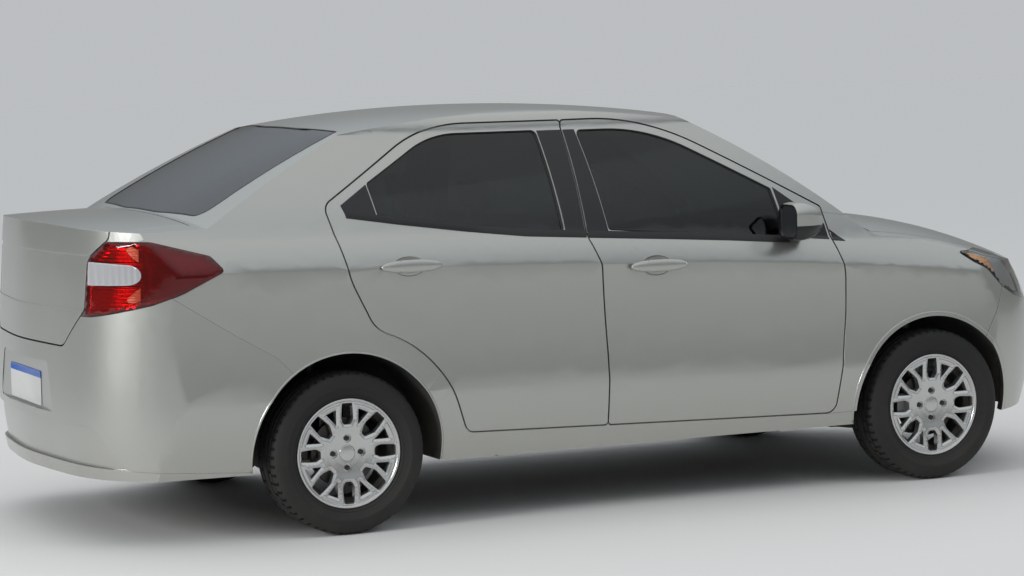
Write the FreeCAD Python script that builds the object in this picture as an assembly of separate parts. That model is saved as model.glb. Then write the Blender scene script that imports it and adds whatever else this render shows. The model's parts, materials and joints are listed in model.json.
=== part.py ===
import FreeCAD, Part
import math
import os

# Four-door notchback saloon, driving towards +X, its left side at +Y, standing on z = 0.
# The origin is on the ground under the middle of the car. Everything is in millimetres.

V = FreeCAD.Vector
doc = FreeCAD.newDocument("SaloonCar")

# Driving sizes of the car, one cell of the sheet each
SIZES = [
    # whole body
    ("body_length", 4254),
    ("body_width", 1694),
    ("body_height", 1522),
    ("sill_height", 245),
    ("jack_height", 239),
    ("wheelbase", 2491),
    ("rear_overhang", 988),
    ("track", 1470),
    # walls of the body and gaps between its panels
    ("panel_gap", 6),
    ("seam", 0.6),
    ("rim_depth", 14),
    ("rim_step", 24),
    ("door_wall", 62),
    ("frame_wall", 36),
    ("roof_wall", 30),
    ("end_wall", 66),
    ("fender_wall", 24),
    ("bumper_wall", 40),
    ("plate_recess", 28),
    ("lid_wall", 30),
    ("field_depth", 4),
    ("lamp_depth", 60),
    ("glass_thickness", 5),
    ("side_glass_recess", 9),
    ("screen_recess", 1.5),
    ("glass_seat", 0.4),
    ("seat_clearance", 0.3),
    # wheel openings
    ("front_arch_radius", 353),
    ("rear_arch_radius", 366),
    ("front_house_radius", 366),
    ("front_house_wall", 440),
    ("rear_house_wall", 565),
    ("house_sheet", 12),
    ("toe_sheet", 8),
    # wheels and tyres
    ("tyre_radius", 297.5),
    ("tyre_width", 195),
    ("rim_radius", 190),
    ("rim_width", 164),
    ("rim_face_radius", 202),
    ("hub_bore_radius", 30),
    ("hub_face_offset", 38),
    ("brake_disc_radius", 128),
    # steering and suspension
    ("kingpin_offset", 652),
    ("kingpin_lean", 10),
    ("strut_radius", 22),
    ("strut_top_height", 830),
    ("tower_radius", 78),
    # seats and controls
    ("seat_spacing", 740),
    ("seat_width", 484),
    ("steering_wheel_radius", 184),
    # floor and underside
    ("pan_sheet", 8),
    ("floor_height", 262),
    ("boot_floor_height", 452),
    ("tunnel_width", 250),
    ("exhaust_radius", 25),
]

sheet = doc.addObject("Spreadsheet::Sheet", "Sizes")
for number, (name, value) in enumerate(SIZES, start=1):
    sheet.set("A%d" % number, name)
    sheet.set("B%d" % number, str(value))
    sheet.setAlias("B%d" % number, name)
doc.recompute()


def size(name):
    return float(sheet.get(name))


HALF_LENGTH = size("body_length") / 2
HALF_WIDTH = size("body_width") / 2
HEIGHT = size("body_height")
GAP = size("panel_gap")
SEAM = size("seam")
REAR_AXLE = size("rear_overhang") - HALF_LENGTH
FRONT_AXLE = REAR_AXLE + size("wheelbase")
AXLE_HEIGHT = size("tyre_radius")
WHEEL_PLANE = size("track") / 2

SUBPARTS = []


def keep(label, shape):
    """Put a finished shape into the document under the name of its file."""
    feature = doc.addObject("Part::Feature", label)
    feature.Label = label
    if shape.ShapeType == "Compound" and len(shape.Solids) == 1:
        shape = shape.Solids[0]
    feature.Shape = shape
    SUBPARTS.append(feature)
    return feature


def segment(start, end, rise):
    """A straight edge, or a parabola whose middle stands off the chord by the vector rise."""
    if rise.Length < 0.05:
        return Part.LineSegment(start, end).toShape()
    curve = Part.BezierCurve()
    curve.setPoles([start, (start + end) * 0.5 + rise * 2, end])
    return curve.toShape()


def box(x_range, y_range, z_range):
    lengths = [b - a for a, b in (x_range, y_range, z_range)]
    return Part.makeBox(*lengths, V(x_range[0], y_range[0], z_range[0]))


def both_sides(shape):
    """The right-hand shape and its mirror image on the left."""
    return [shape, shape.mirror(V(0, 0, 0), V(0, 1, 0))]


def whole(half):
    """A piece right across the car, from its right half."""
    return half.fuse(half.mirror(V(0, 0, 0), V(0, 1, 0)))


def cylinder_y(radius, x, z, y_from, y_to):
    return Part.makeCylinder(radius, abs(y_to - y_from), V(x, min(y_from, y_to), z), V(0, 1, 0))


# Outer form of the body's right half: three simple lofts that meet. The side loft has sections
# across the car. Its widths are measured in from half the body width.
SIDE = [
    # x, sill, crease, shoulder, belt, rail inwards; crease, shoulder, belt height
    (-2350, 157, 87, 105, 157, 347, 500, 960, 1110),
    (-1850, 77, 15, 32, 97, 322, 520, 975, 1105),
    (-1150, 47, 1, 12, 75, 287, 510, 965, 1090),
    (-100, 42, 1, 11, 65, 267, 500, 935, 1055),
    (900, 42, 3, 15, 72, 257, 480, 880, 985),
    (1400, 52, 5, 25, 102, 287, 470, 835, 945),
    (2300, 107, 57, 87, 187, 367, 460, 760, 860),
]
RAIL_DROP = 82
BROW_DROP = 20


def side_section(row, low, high):
    """A section of the right half, its wall drawn in by low below and high above the belt."""
    x, sill, crease, shoulder, belt, rail, crease_z, shoulder_z, belt_z = row
    rail_y = HALF_WIDTH - rail - high
    right = [
        V(x, -(HALF_WIDTH - sill - low), size("sill_height") - low),
        V(x, -(HALF_WIDTH - crease - low), crease_z),
        V(x, -(HALF_WIDTH - shoulder - low), shoulder_z),
        V(x, -(HALF_WIDTH - belt - (low + high) / 2), belt_z),
        V(x, -rail_y, HEIGHT - RAIL_DROP),
        V(x, -(rail_y - 50), HEIGHT - BROW_DROP),
        V(x, -(rail_y - 330), HEIGHT + 40),
    ]
    rises = [V(0, -4, 0), V(0, 9, 0), V(0, -7, 2), V(0, -16, 6), V(0, -12, 10), V(0, 0, 0)]
    edges = [segment(right[i], right[i + 1], rises[i]) for i in range(6)]
    top_middle = V(x, 0, right[6].z)
    low_middle = V(x, 0, right[0].z)
    edges.append(segment(right[6], top_middle, V(0, 0, 0)))
    edges.append(segment(top_middle, low_middle, V(0, 0, 0)))
    edges.append(segment(low_middle, right[0], V(0, 0, 0)))
    return Part.Wire(edges)


# The top loft has sections along the car at five distances from its middle.
TOP = [
    # y, deck, roof, bonnet drop, windscreen set back, rear window set forward
    (-900, 50, 60, 165, 146, 25),
    (-450, 10, 12, 40, 36, 6),
    (0, 0, 0, 0, 0, 0),
    (450, 10, 12, 40, 36, 6),
    (900, 50, 60, 165, 146, 25),
]


def top_section(row, inset):
    """Boot deck, rear window, roof, windscreen and bonnet line at one distance from the middle."""
    y, deck, roof, bonnet, back, forward = row
    sink = inset * 1.1
    points = [
        V(-HALF_LENGTH - 270, y, 1125 - deck - inset),
        V(-1645 + forward, y, 1165 - deck - sink),
        V(-1060 + forward, y, HEIGHT - 60 - roof - sink),
        V(430 - back, y, HEIGHT - 44 - roof - sink),
        V(1215 - back, y, 1032 - bonnet * 0.45 - sink),
        V(HALF_LENGTH - 77, y, 815 - bonnet - inset),
        V(HALF_LENGTH + 280, y, 560 - bonnet - inset),
    ]
    rises = [8, 12, 52, 24, 52, 20]
    edges = []
    for i, rise in enumerate(rises):
        run = points[i + 1] - points[i]
        edges.append(segment(points[i], points[i + 1], V(-run.z, 0, run.x).normalize() * rise))
    front_foot = V(HALF_LENGTH + 280, y, 100)
    rear_foot = V(-HALF_LENGTH - 270, y, 100)
    edges.append(segment(points[6], front_foot, V(0, 0, 0)))
    edges.append(segment(front_foot, rear_foot, V(0, 0, 0)))
    edges.append(segment(rear_foot, points[0], V(0, 0, 0)))
    return Part.Wire(edges)


# The end loft has plan outlines at seven heights, drawn back from the bumper faces.
ENDS = [
    # height, front face back, rear face forward
    (150, 97, 47),
    (330, 22, 12),
    (520, 0, 0),
    (700, 27, 9),
    (860, 112, 19),
    (1150, 227, 42),
    (1700, 427, 87),
]


# Half of the nose and of the tail in plan, as distance back from the end and from the middle
NOSE_PLAN = [(0, 0), (38, 280), (150, 560), (354, 758), (620, 858)]
TAIL_PLAN = [(0, 0), (23, 300), (96, 600), (248, 768), (520, 858)]


def end_section(row, inset):
    z, front_back, rear_back = row
    front = HALF_LENGTH - front_back - inset
    rear = -HALF_LENGTH + rear_back + inset
    nose = [V(front - back, -y, z) for back, y in reversed(NOSE_PLAN)]
    nose += [V(front - back, y, z) for back, y in NOSE_PLAN[1:]]
    tail = [V(rear + back, y, z) for back, y in reversed(TAIL_PLAN)]
    tail += [V(rear + back, -y, z) for back, y in TAIL_PLAN[1:]]
    nose_curve = Part.BSplineCurve()
    nose_curve.interpolate(nose)
    tail_curve = Part.BSplineCurve()
    tail_curve.interpolate(tail)
    return Part.Wire([
        nose_curve.toShape(),
        Part.LineSegment(nose[-1], tail[0]).toShape(),
        tail_curve.toShape(),
        Part.LineSegment(tail[-1], nose[0]).toShape(),
    ])


def smooth_loft(sections):
    """A solid through the sections, of cubic surfaces."""
    return Part.makeLoft(sections, True, False, False, 3)


def body_form(low, high, top, end):
    """The right half's form, drawn in by the walls low and high at the side, on top and at the end."""
    side_loft = smooth_loft([side_section(row, low, high) for row in SIDE])
    top_loft = smooth_loft([top_section(row, top) for row in TOP])
    end_loft = smooth_loft([end_section(row, end) for row in ENDS])
    return side_loft.common(top_loft).common(end_loft)


OUTER = body_form(0, 0, 0, 0)
RIM = body_form(*[size("rim_depth")] * 4)
REBATE = body_form(*[size("rim_depth") + GAP] * 4)
CABIN = body_form(size("door_wall"), size("frame_wall"), size("roof_wall"), size("end_wall"))
PANEL = body_form(*[size("fender_wall")] * 3, size("bumper_wall"))
PANEL_SEAT = body_form(*[size("fender_wall") + SEAM] * 3, size("bumper_wall") + SEAM)
LID = body_form(*[size("lid_wall")] * 4)
LAMP = body_form(*[size("lamp_depth")] * 4)
LAMP_SEAT = body_form(*[size("lamp_depth") + SEAM] * 4)
GLASS_OUT = body_form(*[size("side_glass_recess")] * 2, size("screen_recess"), 0)
GLASS_IN = body_form(
    *[size("side_glass_recess") + size("glass_thickness")] * 2,
    size("screen_recess") + size("glass_thickness"), 0)

INSIDE = body_form(
    size("door_wall") + SEAM, size("frame_wall") + SEAM, size("roof_wall"), size("end_wall") + SEAM)


# Outlines of panels and windows, as corners with a radius each
def outline_wire(corners, offset, place):
    """A closed wire moved outwards by offset. A corner of radius 0 stays sharp."""
    count = len(corners)
    area = 0
    for i in range(count):
        u0, v0 = corners[i][:2]
        u1, v1 = corners[(i + 1) % count][:2]
        area += u0 * v1 - u1 * v0
    turn = 1 if area > 0 else -1
    lines = []
    for i in range(count):
        u0, v0 = corners[i][:2]
        u1, v1 = corners[(i + 1) % count][:2]
        length = math.hypot(u1 - u0, v1 - v0)
        du, dv = (u1 - u0) / length, (v1 - v0) / length
        lines.append((u0 + turn * dv * offset, v0 - turn * du * offset, du, dv))
    stops = []
    for i in range(count):
        au, av, adu, adv = lines[i - 1]
        bu, bv, bdu, bdv = lines[i]
        cross = adu * bdv - adv * bdu
        step = ((bu - au) * bdv - (bv - av) * bdu) / cross
        u, v = au + adu * step, av + adv * step
        bend = math.atan2(cross, adu * bdu + adv * bdv)
        if corners[i][2] == 0:
            stops.append((place(u, v),) * 3)
            continue
        radius = max(4, corners[i][2] + (offset if bend * turn > 0 else -offset))
        tangent = radius * math.tan(abs(bend) / 2)
        reach = radius / math.cos(bend / 2) - radius
        mid_u, mid_v = bdu - adu, bdv - adv
        length = math.hypot(mid_u, mid_v)
        start = place(u - adu * tangent, v - adv * tangent)
        middle = place(u + mid_u / length * reach, v + mid_v / length * reach)
        end = place(u + bdu * tangent, v + bdv * tangent)
        stops.append((start, middle, end))
    edges = []
    for i in range(count):
        start, middle, end = stops[i]
        if start != end:
            edges.append(Part.Arc(start, middle, end).toShape())
        edges.append(Part.LineSegment(end, stops[(i + 1) % count][0]).toShape())
    return Part.Wire(edges)


def side_prism(corners, offset=0.0, inner=350.0):
    """A right-hand prism through the body side, of an outline in x and z."""
    wire = outline_wire(corners, offset, lambda x, z: V(x, -1000, z))
    return Part.Face(wire).extrude(V(0, 1000 - inner, 0))


def cross_prism(corners, offset=0.0):
    """A prism right across the car, of an outline in x and z."""
    wire = outline_wire(corners, offset, lambda x, z: V(x, -1000, z))
    return Part.Face(wire).extrude(V(0, 2000, 0))


def plan_prism(corners, offset=0.0, low=600.0):
    """An upright prism of an outline in x and y."""
    wire = outline_wire(corners, offset, lambda x, y: V(x, y, low))
    return Part.Face(wire).extrude(V(0, 0, 1700 - low))


# Front and rear door share the upright line over the middle pillar.
FRONT_DOOR = [
    # x, z, corner radius
    (-152, 1468, 14),
    (196, 1470, 900),
    (886, 1102, 22),
    (918, 960, 150),
    (949, 850, 250),
    (949, 690, 900),
    (900, 298, 45),
    (-92, 325, 14),
    (-94, 600, 900),
    (-110, 930, 90),
    (-150, 1035, 90),
]
REAR_DOOR = [
    (-150, 1035, 90),
    (-110, 930, 90),
    (-94, 600, 900),
    (-92, 325, 14),
    (-672, 341, 40),
    (-744, 543, 438),
    (-879, 683, 438),
    (-1028, 743, 120),
    (-1122, 930, 300),
    (-1179, 1193, 45),
    (-715, 1469, 600),
    (-152, 1468, 14),
]
FRONT_WINDOW = [
    (-96, 1430, 22),
    (201, 1430, 700),
    (678, 1180, 14),
    (718, 985, 14),
    (-54, 1055, 14),
]
REAR_WINDOW = [
    (-258, 1434, 22),
    (-238, 1052, 20),
    (-614, 1087, 2500),
    (-975, 1135, 14),
    (-995, 1266, 14),
    (-693, 1434, 420),
]
FENDER = [
    (800, 1092, 0),
    (1145, 1042, 0),
    (1150, 1100, 0),
    (1900, 1100, 0),
    (1850, 762, 0),
    (1712, 745, 0),
    (1642, 631, 0),
    (1500, 400, 0),
    (1352, 297, 0),
    (800, 297, 0),
]
FRONT_BUMPER = [
    (1642, 631, 0),
    (1712, 745, 0),
    (1797, 704, 30),
    (1960, 668, 60),
    (2500, 668, 0),
    (2500, 185, 0),
    (1640, 225, 0),
    (1500, 240, 0),
    (1500, 400, 0),
]
HEADLAMP = [
    (1496, 896, 6),
    (1640, 900, 0),
    (2300, 900, 0),
    (2300, 668, 0),
    (1960, 668, 60),
    (1797, 704, 30),
    (1712, 745, 20),
    (1630, 818, 60),
    (1560, 852, 60),
]
REAR_BUMPER = [
    (-2500, 828, 0),
    (-2020, 828, 40),
    (-1850, 873, 60),
    (-1790, 897, 0),
    (-1550, 746, 200),
    (-1412, 666, 0),
    (-1250, 500, 0),
    (-1300, 250, 0),
    (-1447, 250, 0),
    (-2500, 320, 0),
]
TAIL_LAMP = [
    (-2500, 1098, 0),
    (-1850, 1098, 120),
    (-1640, 1040, 30),
    (-1592, 985, 12),
    (-1741, 914, 80),
    (-1850, 873, 60),
    (-2020, 828, 40),
    (-2500, 828, 0),
]
BONNET = [
    # x, y, corner radius
    (1146, -688, 12),
    (1222, -240, 900),
    (1222, 240, 900),
    (1146, 688, 12),
    (1560, 684, 60),
    (1840, 600, 120),
    (1990, 425, 60),
    (2042, 160, 300),
    (2042, -160, 300),
    (1990, -425, 60),
    (1840, -600, 120),
    (1560, -684, 60),
]
WINDSCREEN = [
    (382, -520, 40),
    (428, -200, 900),
    (428, 200, 900),
    (382, 520, 40),
    (1132, 660, 40),
    (1206, 240, 900),
    (1206, -240, 900),
    (1132, -660, 40),
]
REAR_SCREEN = [
    (-1604, -590, 60),
    (-1640, -200, 900),
    (-1640, 200, 900),
    (-1604, 590, 60),
    (-1016, 515, 50),
    (-1062, 200, 900),
    (-1062, -200, 900),
    (-1016, -515, 50),
]
ROOF = [
    (-1012, -528, 30),
    (-1060, -200, 900),
    (-1060, 200, 900),
    (-1012, 528, 30),
    (380, 532, 30),
    (426, 200, 900),
    (426, -200, 900),
    (380, -532, 30),
]
BOOT_LID = [
    # y, z, corner radius
    (-420, 714, 50),
    (-548, 845, 60),
    (-556, 1030, 40),
    (-646, 1105, 30),
    (-655, 1300, 0),
    (655, 1300, 0),
    (646, 1105, 30),
    (556, 1030, 40),
    (548, 845, 60),
    (420, 714, 50),
]
LID_FRONT = -1664.0


def lid_prism(offset):
    wire = outline_wire(BOOT_LID, offset, lambda y, z: V(-2500, y, z))
    return Part.Face(wire).extrude(V(LID_FRONT + offset + 2500, 0, 0))


def arch(radius, x):
    """The round wheel opening through the right side of the body."""
    return cylinder_y(radius, x, AXLE_HEIGHT, -1000, -350)


front_arch = arch(size("front_arch_radius"), FRONT_AXLE)
front_door_edge = side_prism(FRONT_DOOR, GAP / 2)

# Doors: an outer rim over the pillars and a deeper inner part that stands in from it
DOOR_CORNERS = {"front": FRONT_DOOR, "rear": REAR_DOOR}
WINDOW_CORNERS = {"front": FRONT_WINDOW, "rear": REAR_WINDOW}
HANDLE_PLACES = {"front": (120, 917), "rear": (-890, 968)}


def door_prism(end, offset):
    return side_prism(DOOR_CORNERS[end], offset)


HANDLE_BAR = [
    # x, z, corner radius
    (-114, -7, 6),
    (-62, -18, 60),
    (62, -18, 60),
    (114, -7, 6),
    (114, 7, 6),
    (62, 18, 60),
    (-62, 18, 60),
    (-114, 7, 6),
]


def pull_handle(x, z):
    """A body-coloured pull bar on two feet over a finger cup, and the cup that is cut for it."""
    skin = HALF_WIDTH - 12
    cup = Part.makeSphere(46, V(0, 0, 0))
    stretch = FreeCAD.Matrix()
    stretch.scale(V(1.4, 0.5, 0.85))
    cup = cup.transformGeometry(stretch)
    cup.translate(V(x, -skin, z))
    bar_wire = outline_wire(HANDLE_BAR, 0, lambda u, v: V(x + u, -skin - 25, z + v))
    bar = Part.Face(bar_wire).extrude(V(0, 13, 0))
    foot_front = box((x + 76, x + 100), (-skin - 20, -skin + 12), (z - 9, z + 9))
    foot_rear = box((x - 100, x - 76), (-skin - 20, -skin + 12), (z - 9, z + 9))
    return cup, bar.fuse([foot_front, foot_rear])


doors = {}
for end in ("front", "rear"):
    door = OUTER.common(door_prism(end, -GAP / 2)).cut(CABIN)
    ring = side_prism([(-1400, 200, 0), (1200, 200, 0), (1200, 1600, 0), (-1400, 1600, 0)])
    ring = ring.cut(door_prism(end, -size("rim_step"))).common(RIM)
    door = door.cut(ring)
    door = door.cut(side_prism(WINDOW_CORNERS[end]))
    cup, handle = pull_handle(*HANDLE_PLACES[end])
    door = door.cut(cup).fuse(handle)
    doors[end] = door
    for side, shape in zip(("right", "left"), both_sides(door)):
        keep("door_%s_%s" % (end, side), shape)
    glass = side_prism(WINDOW_CORNERS[end], -size("glass_seat")).common(GLASS_OUT).cut(GLASS_IN)
    for side, shape in zip(("right", "left"), both_sides(glass)):
        keep("window_%s_%s" % (end, side), shape)

# Windscreen and rear window, bonded flush into the openings of the shell
for label, corners in (("windscreen", WINDSCREEN), ("rear_window", REAR_SCREEN)):
    pane = plan_prism(corners, -size("glass_seat"), 900).common(GLASS_OUT).cut(GLASS_IN)
    keep(label, whole(pane))

# Roof panel between the two roof seams
roof_panel = plan_prism(ROOF, -SEAM, 1300).common(OUTER).cut(LID)
keep("roof_panel", whole(roof_panel))

# Bonnet and boot lid
bonnet = plan_prism(BONNET, -GAP / 2, 778).common(OUTER).cut(LID)
keep("bonnet", whole(bonnet))
boot_lid = lid_prism(-GAP / 2).common(OUTER).cut(LID)
LID_FIELD = [
    # y, z, corner radius: the field that lies a little deeper, between two creases
    (-700, 846, 0),
    (-700, 1046, 0),
    (700, 1046, 0),
    (700, 846, 0),
]
FIELD_FORM = body_form(*[size("field_depth")] * 4)
lid_field = Part.Face(outline_wire(LID_FIELD, 0, lambda y, z: V(-2500, y, z))).extrude(V(700, 0, 0))
boot_lid = boot_lid.cut(lid_field.cut(FIELD_FORM))
keep("boot_lid", whole(boot_lid))
bonnet_opening = plan_prism(BONNET, GAP / 2, 772)
lid_opening = lid_prism(GAP / 2)

# Front wings with their round wheel openings
fender = side_prism(FENDER, -SEAM, 655).common(OUTER).cut(PANEL)
fender = fender.cut(front_door_edge).cut(bonnet_opening).cut(front_arch)
fender = fender.cut(side_prism(HEADLAMP, SEAM, 400))
fender = max(fender.Solids, key=lambda s: s.Volume)
for side, shape in zip(("right", "left"), both_sides(fender)):
    keep("fender_%s" % side, shape)

# Bumpers wrap round the corners to the wheel openings
front_bumper = cross_prism(FRONT_BUMPER, -SEAM).common(OUTER).cut(PANEL)
front_bumper = front_bumper.cut(front_arch)
INTAKE = [
    # y, z, corner radius
    (-430, 300, 30),
    (-480, 430, 40),
    (480, 430, 40),
    (430, 300, 30),
]
intake = Part.Face(outline_wire(INTAKE, 0, lambda y, z: V(1900, y, z))).extrude(V(400, 0, 0))
intake = intake.cut([box((1900, 2300), (-500, 500), (z - 5, z + 5)) for z in (335, 365, 395)])
front_bumper = front_bumper.cut(intake)
keep("front_bumper", whole(front_bumper))

rear_bumper = cross_prism(REAR_BUMPER, -SEAM).common(OUTER).cut(PANEL).cut(lid_opening)
rear_bumper = rear_bumper.cut(arch(size("rear_arch_radius"), REAR_AXLE))
PLATE_RECESS = [
    # y, z, corner radius
    (-345, 468, 20),
    (-285, 650, 25),
    (285, 650, 25),
    (345, 468, 20),
]
VALANCE = [
    (-790, 150, 0),
    (-600, 440, 60),
    (600, 440, 60),
    (790, 150, 0),
]
recess = Part.Face(outline_wire(PLATE_RECESS, 0, lambda y, z: V(-2300, y, z)))
rear_bumper = rear_bumper.cut(recess.extrude(V(2300 - HALF_LENGTH + size("plate_recess"), 0, 0)))
valance = Part.Face(outline_wire(VALANCE, 0, lambda y, z: V(-2300, y, z))).extrude(V(500, 0, 0))
rear_bumper = rear_bumper.cut(valance.cut(RIM))
keep("rear_bumper", whole(rear_bumper))

# Upper grille of level bars in a frame, between the headlamps
grille = box((1900, 2300), (-430 + SEAM, 430 - SEAM), (668 - SEAM / 2, 772)).common(OUTER).cut(LID)
grille_mouth = box((1900, 2300), (-404, 404), (688, 758))
grille_mouth = grille_mouth.cut([box((1900, 2300), (-430, 430), (z - 4, z + 4)) for z in (705, 723, 741)])
grille = grille.cut(grille_mouth)
keep("grille", whole(grille))

# Lamps: deep mouldings that carry on the body's surface
headlamp = side_prism(HEADLAMP, -SEAM, 430 + SEAM).common(OUTER).cut(LAMP).cut(bonnet_opening)
headlamp = headlamp.cut(front_arch)
keep("headlamps", Part.makeCompound(both_sides(headlamp)))
tail_lamp = side_prism(TAIL_LAMP, -SEAM, 500).common(OUTER).cut(LAMP).cut(lid_opening)
keep("tail_lamps", Part.makeCompound(both_sides(tail_lamp)))

# The kingpin leans inwards at its top. The strut, its tower and the lower ball are measured along it.
lean = math.radians(size("kingpin_lean"))
KINGPIN_UP = V(0, math.sin(lean), math.cos(lean))
KINGPIN = V(FRONT_AXLE, -size("kingpin_offset"), AXLE_HEIGHT)
strut_length = (size("strut_top_height") - AXLE_HEIGHT) / math.cos(lean)


def on_kingpin(distance):
    return KINGPIN + KINGPIN_UP * distance


def kingpin_rod(radius, start, end):
    return Part.makeCylinder(radius, end - start, on_kingpin(start), KINGPIN_UP)


# Body shell: pillars, sills, roof rails, rear wings, cowl and inner walls
house_wall = size("rear_house_wall")
tub = cylinder_y(size("rear_arch_radius") + size("house_sheet"), REAR_AXLE, AXLE_HEIGHT,
                 -1000, -house_wall + size("house_sheet"))
interior = CABIN.common(box((-2200, 1040), (-900, 900), (100, 1600)))
interior = interior.cut(tub)
engine_bay = CABIN.common(box((1065, 2300), (-900, 900), (100, 1200)))
shell = OUTER.common(box((-2200, 1960), (-900, 900), (200, 1600)))
shell = shell.cut([interior, engine_bay])
openings = [
    cylinder_y(size("rear_arch_radius"), REAR_AXLE, AXLE_HEIGHT, -1000, -house_wall),
    cylinder_y(size("front_house_radius"), FRONT_AXLE, AXLE_HEIGHT, -1000, -size("front_house_wall")),
    side_prism(FENDER, 0, 655).cut(PANEL_SEAT),
    side_prism(HEADLAMP, 0, 400).cut(LAMP_SEAT),
    side_prism(TAIL_LAMP, 0, 480).cut(LAMP_SEAT),
    cross_prism(FRONT_BUMPER).cut(PANEL_SEAT),
    cross_prism(REAR_BUMPER).cut(PANEL_SEAT),
    box((1900, 2300), (-430, 430), (660, 780)),
    bonnet_opening,
    lid_opening,
    plan_prism(WINDSCREEN, 0, 900),
    plan_prism(REAR_SCREEN, 0, 900),
    plan_prism(ROOF, 0, 1300),
]
for end in ("front", "rear"):
    openings.append(door_prism(end, GAP / 2).cut(REBATE))
    openings.append(door_prism(end, -size("rim_step") + GAP))
for opening in openings:
    shell = shell.cut(opening)

# What stands inside the wheel openings and carries the struts, hinges and rear shelf
house = size("front_house_radius")
front_wall = size("front_house_wall")
liner = cylinder_y(house + size("toe_sheet"), FRONT_AXLE, AXLE_HEIGHT, -795, -front_wall + 12)
liner = liner.cut(cylinder_y(house, FRONT_AXLE, AXLE_HEIGHT, -900, -front_wall))
liner = liner.common(box((900, 1800), (-900, -400), (455, 800)))
tower = kingpin_rod(size("tower_radius"), 300, strut_length + 8)
liner = liner.fuse(tower).cut(cylinder_y(house, FRONT_AXLE, AXLE_HEIGHT, -900, -front_wall))
tower_hollow = kingpin_rod(size("tower_radius") - 6, 290, strut_length + size("seat_clearance"))
liner = liner.cut(tower_hollow).common(PANEL_SEAT)
apron = box((1060, 1800), (-front_wall, -front_wall + 12), (455, 640)).common(PANEL_SEAT)
toe_tub = cylinder_y(house + size("toe_sheet"), FRONT_AXLE, AXLE_HEIGHT, -795, -front_wall + 12)
toe_tub = toe_tub.cut(cylinder_y(house, FRONT_AXLE, AXLE_HEIGHT, -900, -front_wall))
toe_tub = toe_tub.common(box((900, 1050), (-900, -400), (size("sill_height"), 700))).common(OUTER)
jack_lugs = [box((x - 40, x + 40), (-798, -762), (size("jack_height"), 260)) for x in (-500, 700)]
shelf = box((-1662, -1292), (-900, 0), (1046, 1058)).fuse(box((-1662, -1640), (-900, 0), (1046, 1170)))
shell = shell.fuse([liner, apron.fuse(liner), shelf.common(OUTER), toe_tub] + jack_lugs)
hinge_leaves = []
for end, x, heights in (("front", 920, (460, 830)), ("rear", -115, (460, 830))):
    for z in heights:
        leaf = box((x - 40, x + 40), (-812, -790), (z - 30, z + 30))
        leaf = leaf.common(door_prism(end, 1 - size("rim_step") + GAP))
        leaf = leaf.cut(door_prism(end, size("seat_clearance") - size("rim_step")))
        hinge_leaves.append(max(leaf.Solids, key=lambda s: s.BoundBox.XMax))
LID_SEAT = body_form(*[size("lid_wall") + size("seat_clearance")] * 4)
bonnet_hinge = box((1160, 1235), (-725, -655), (880, 1020)).common(LID_SEAT)
boot_hinge = box((-1705, -1645), (-530, -490), (1080, 1160)).common(LID_SEAT)
shell = shell.fuse(hinge_leaves + [bonnet_hinge, boot_hinge])
axle_slot = box((REAR_AXLE - 130, REAR_AXLE + 130), (-600, -400), (0, 445))
pipe_slot = box((1030, 1075), (-size("tunnel_width") / 2, 0), (200, 388))
shell = shell.cut(axle_slot).cut(pipe_slot)
keep("body_shell", whole(shell))

# Wheels: a cast rim turned to one profile, with windows between eight spokes, and its brake disc
def turned(profile, centre):
    """A ring turned about an axle, of (radius, distance outwards) corners."""
    points = [V(0, -out, radius) for radius, out in profile]
    ring = Part.Face(Part.makePolygon(points + points[:1])).revolve(V(0, 0, 0), V(0, 1, 0), 360)
    ring.translate(centre)
    return ring


rim_seat = size("rim_radius")
rim_edge = size("rim_face_radius")
half_rim = size("rim_width") / 2
hub_bore = size("hub_bore_radius")
hub_face = size("hub_face_offset")
WHEEL_PROFILE = [
    # radius, distance outwards
    (hub_bore, hub_face),
    (72, hub_face),
    (84, 47),
    (168, 60),
    (180, 52),
    (160, 34),
    (160, -26),
    (rim_seat - 7, -42),
    (rim_seat - 7, -half_rim + 6),
    (rim_edge - 5, -half_rim),
    (rim_edge, -half_rim),
    (rim_edge, -half_rim + 2),
    (rim_seat, -half_rim + 6),
    (rim_seat, -40),
    (166, -24),
    (166, 32),
    (rim_seat, 48),
    (rim_seat, half_rim - 6),
    (rim_edge, half_rim - 2),
    (rim_edge, half_rim),
    (rim_edge - 5, half_rim),
    (rim_seat - 3, 78),
    (150, 77),
    (76, 68),
    (64, 62),
    (hub_bore, 60),
]
disc_radius = size("brake_disc_radius")
DISC_PROFILE = [
    (hub_bore, 7),
    (disc_radius, 7),
    (disc_radius, 29),
    (72, 29),
    (72, hub_face),
    (hub_bore, hub_face),
]
tyre_seat = rim_seat + size("seat_clearance")
half_tyre = size("tyre_width") / 2
tyre_top = size("tyre_radius")
TYRE_PROFILE = [
    (tyre_seat, half_rim - 9),
    (tyre_seat + 56, half_tyre),
    (tyre_top - 13, half_tyre - 10),
    (tyre_top, half_tyre - 32),
    (tyre_top, 32 - half_tyre),
    (tyre_top - 13, 10 - half_tyre),
    (tyre_seat + 56, -half_tyre),
    (tyre_seat, 9 - half_rim),
]
SPOKES = 8
LONG_WINDOW = [
    # half width, radius, corner radius
    (-13, 104, 8),
    (-23, 124, 14),
    (-21, 180, 5),
    (21, 180, 5),
    (23, 124, 14),
    (13, 104, 8),
]
SHORT_WINDOW = [
    (0, 116, 3),
    (-20, 164, 5),
    (20, 164, 5),
]


def spoke_window(corners, turn, centre):
    wire = outline_wire(corners, 0, lambda x, z: V(x, -100, z))
    cutter = Part.Face(wire).extrude(V(0, 70, 0))
    cutter.rotate(V(0, 0, 0), V(0, 1, 0), turn)
    cutter.translate(centre)
    return cutter


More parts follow.
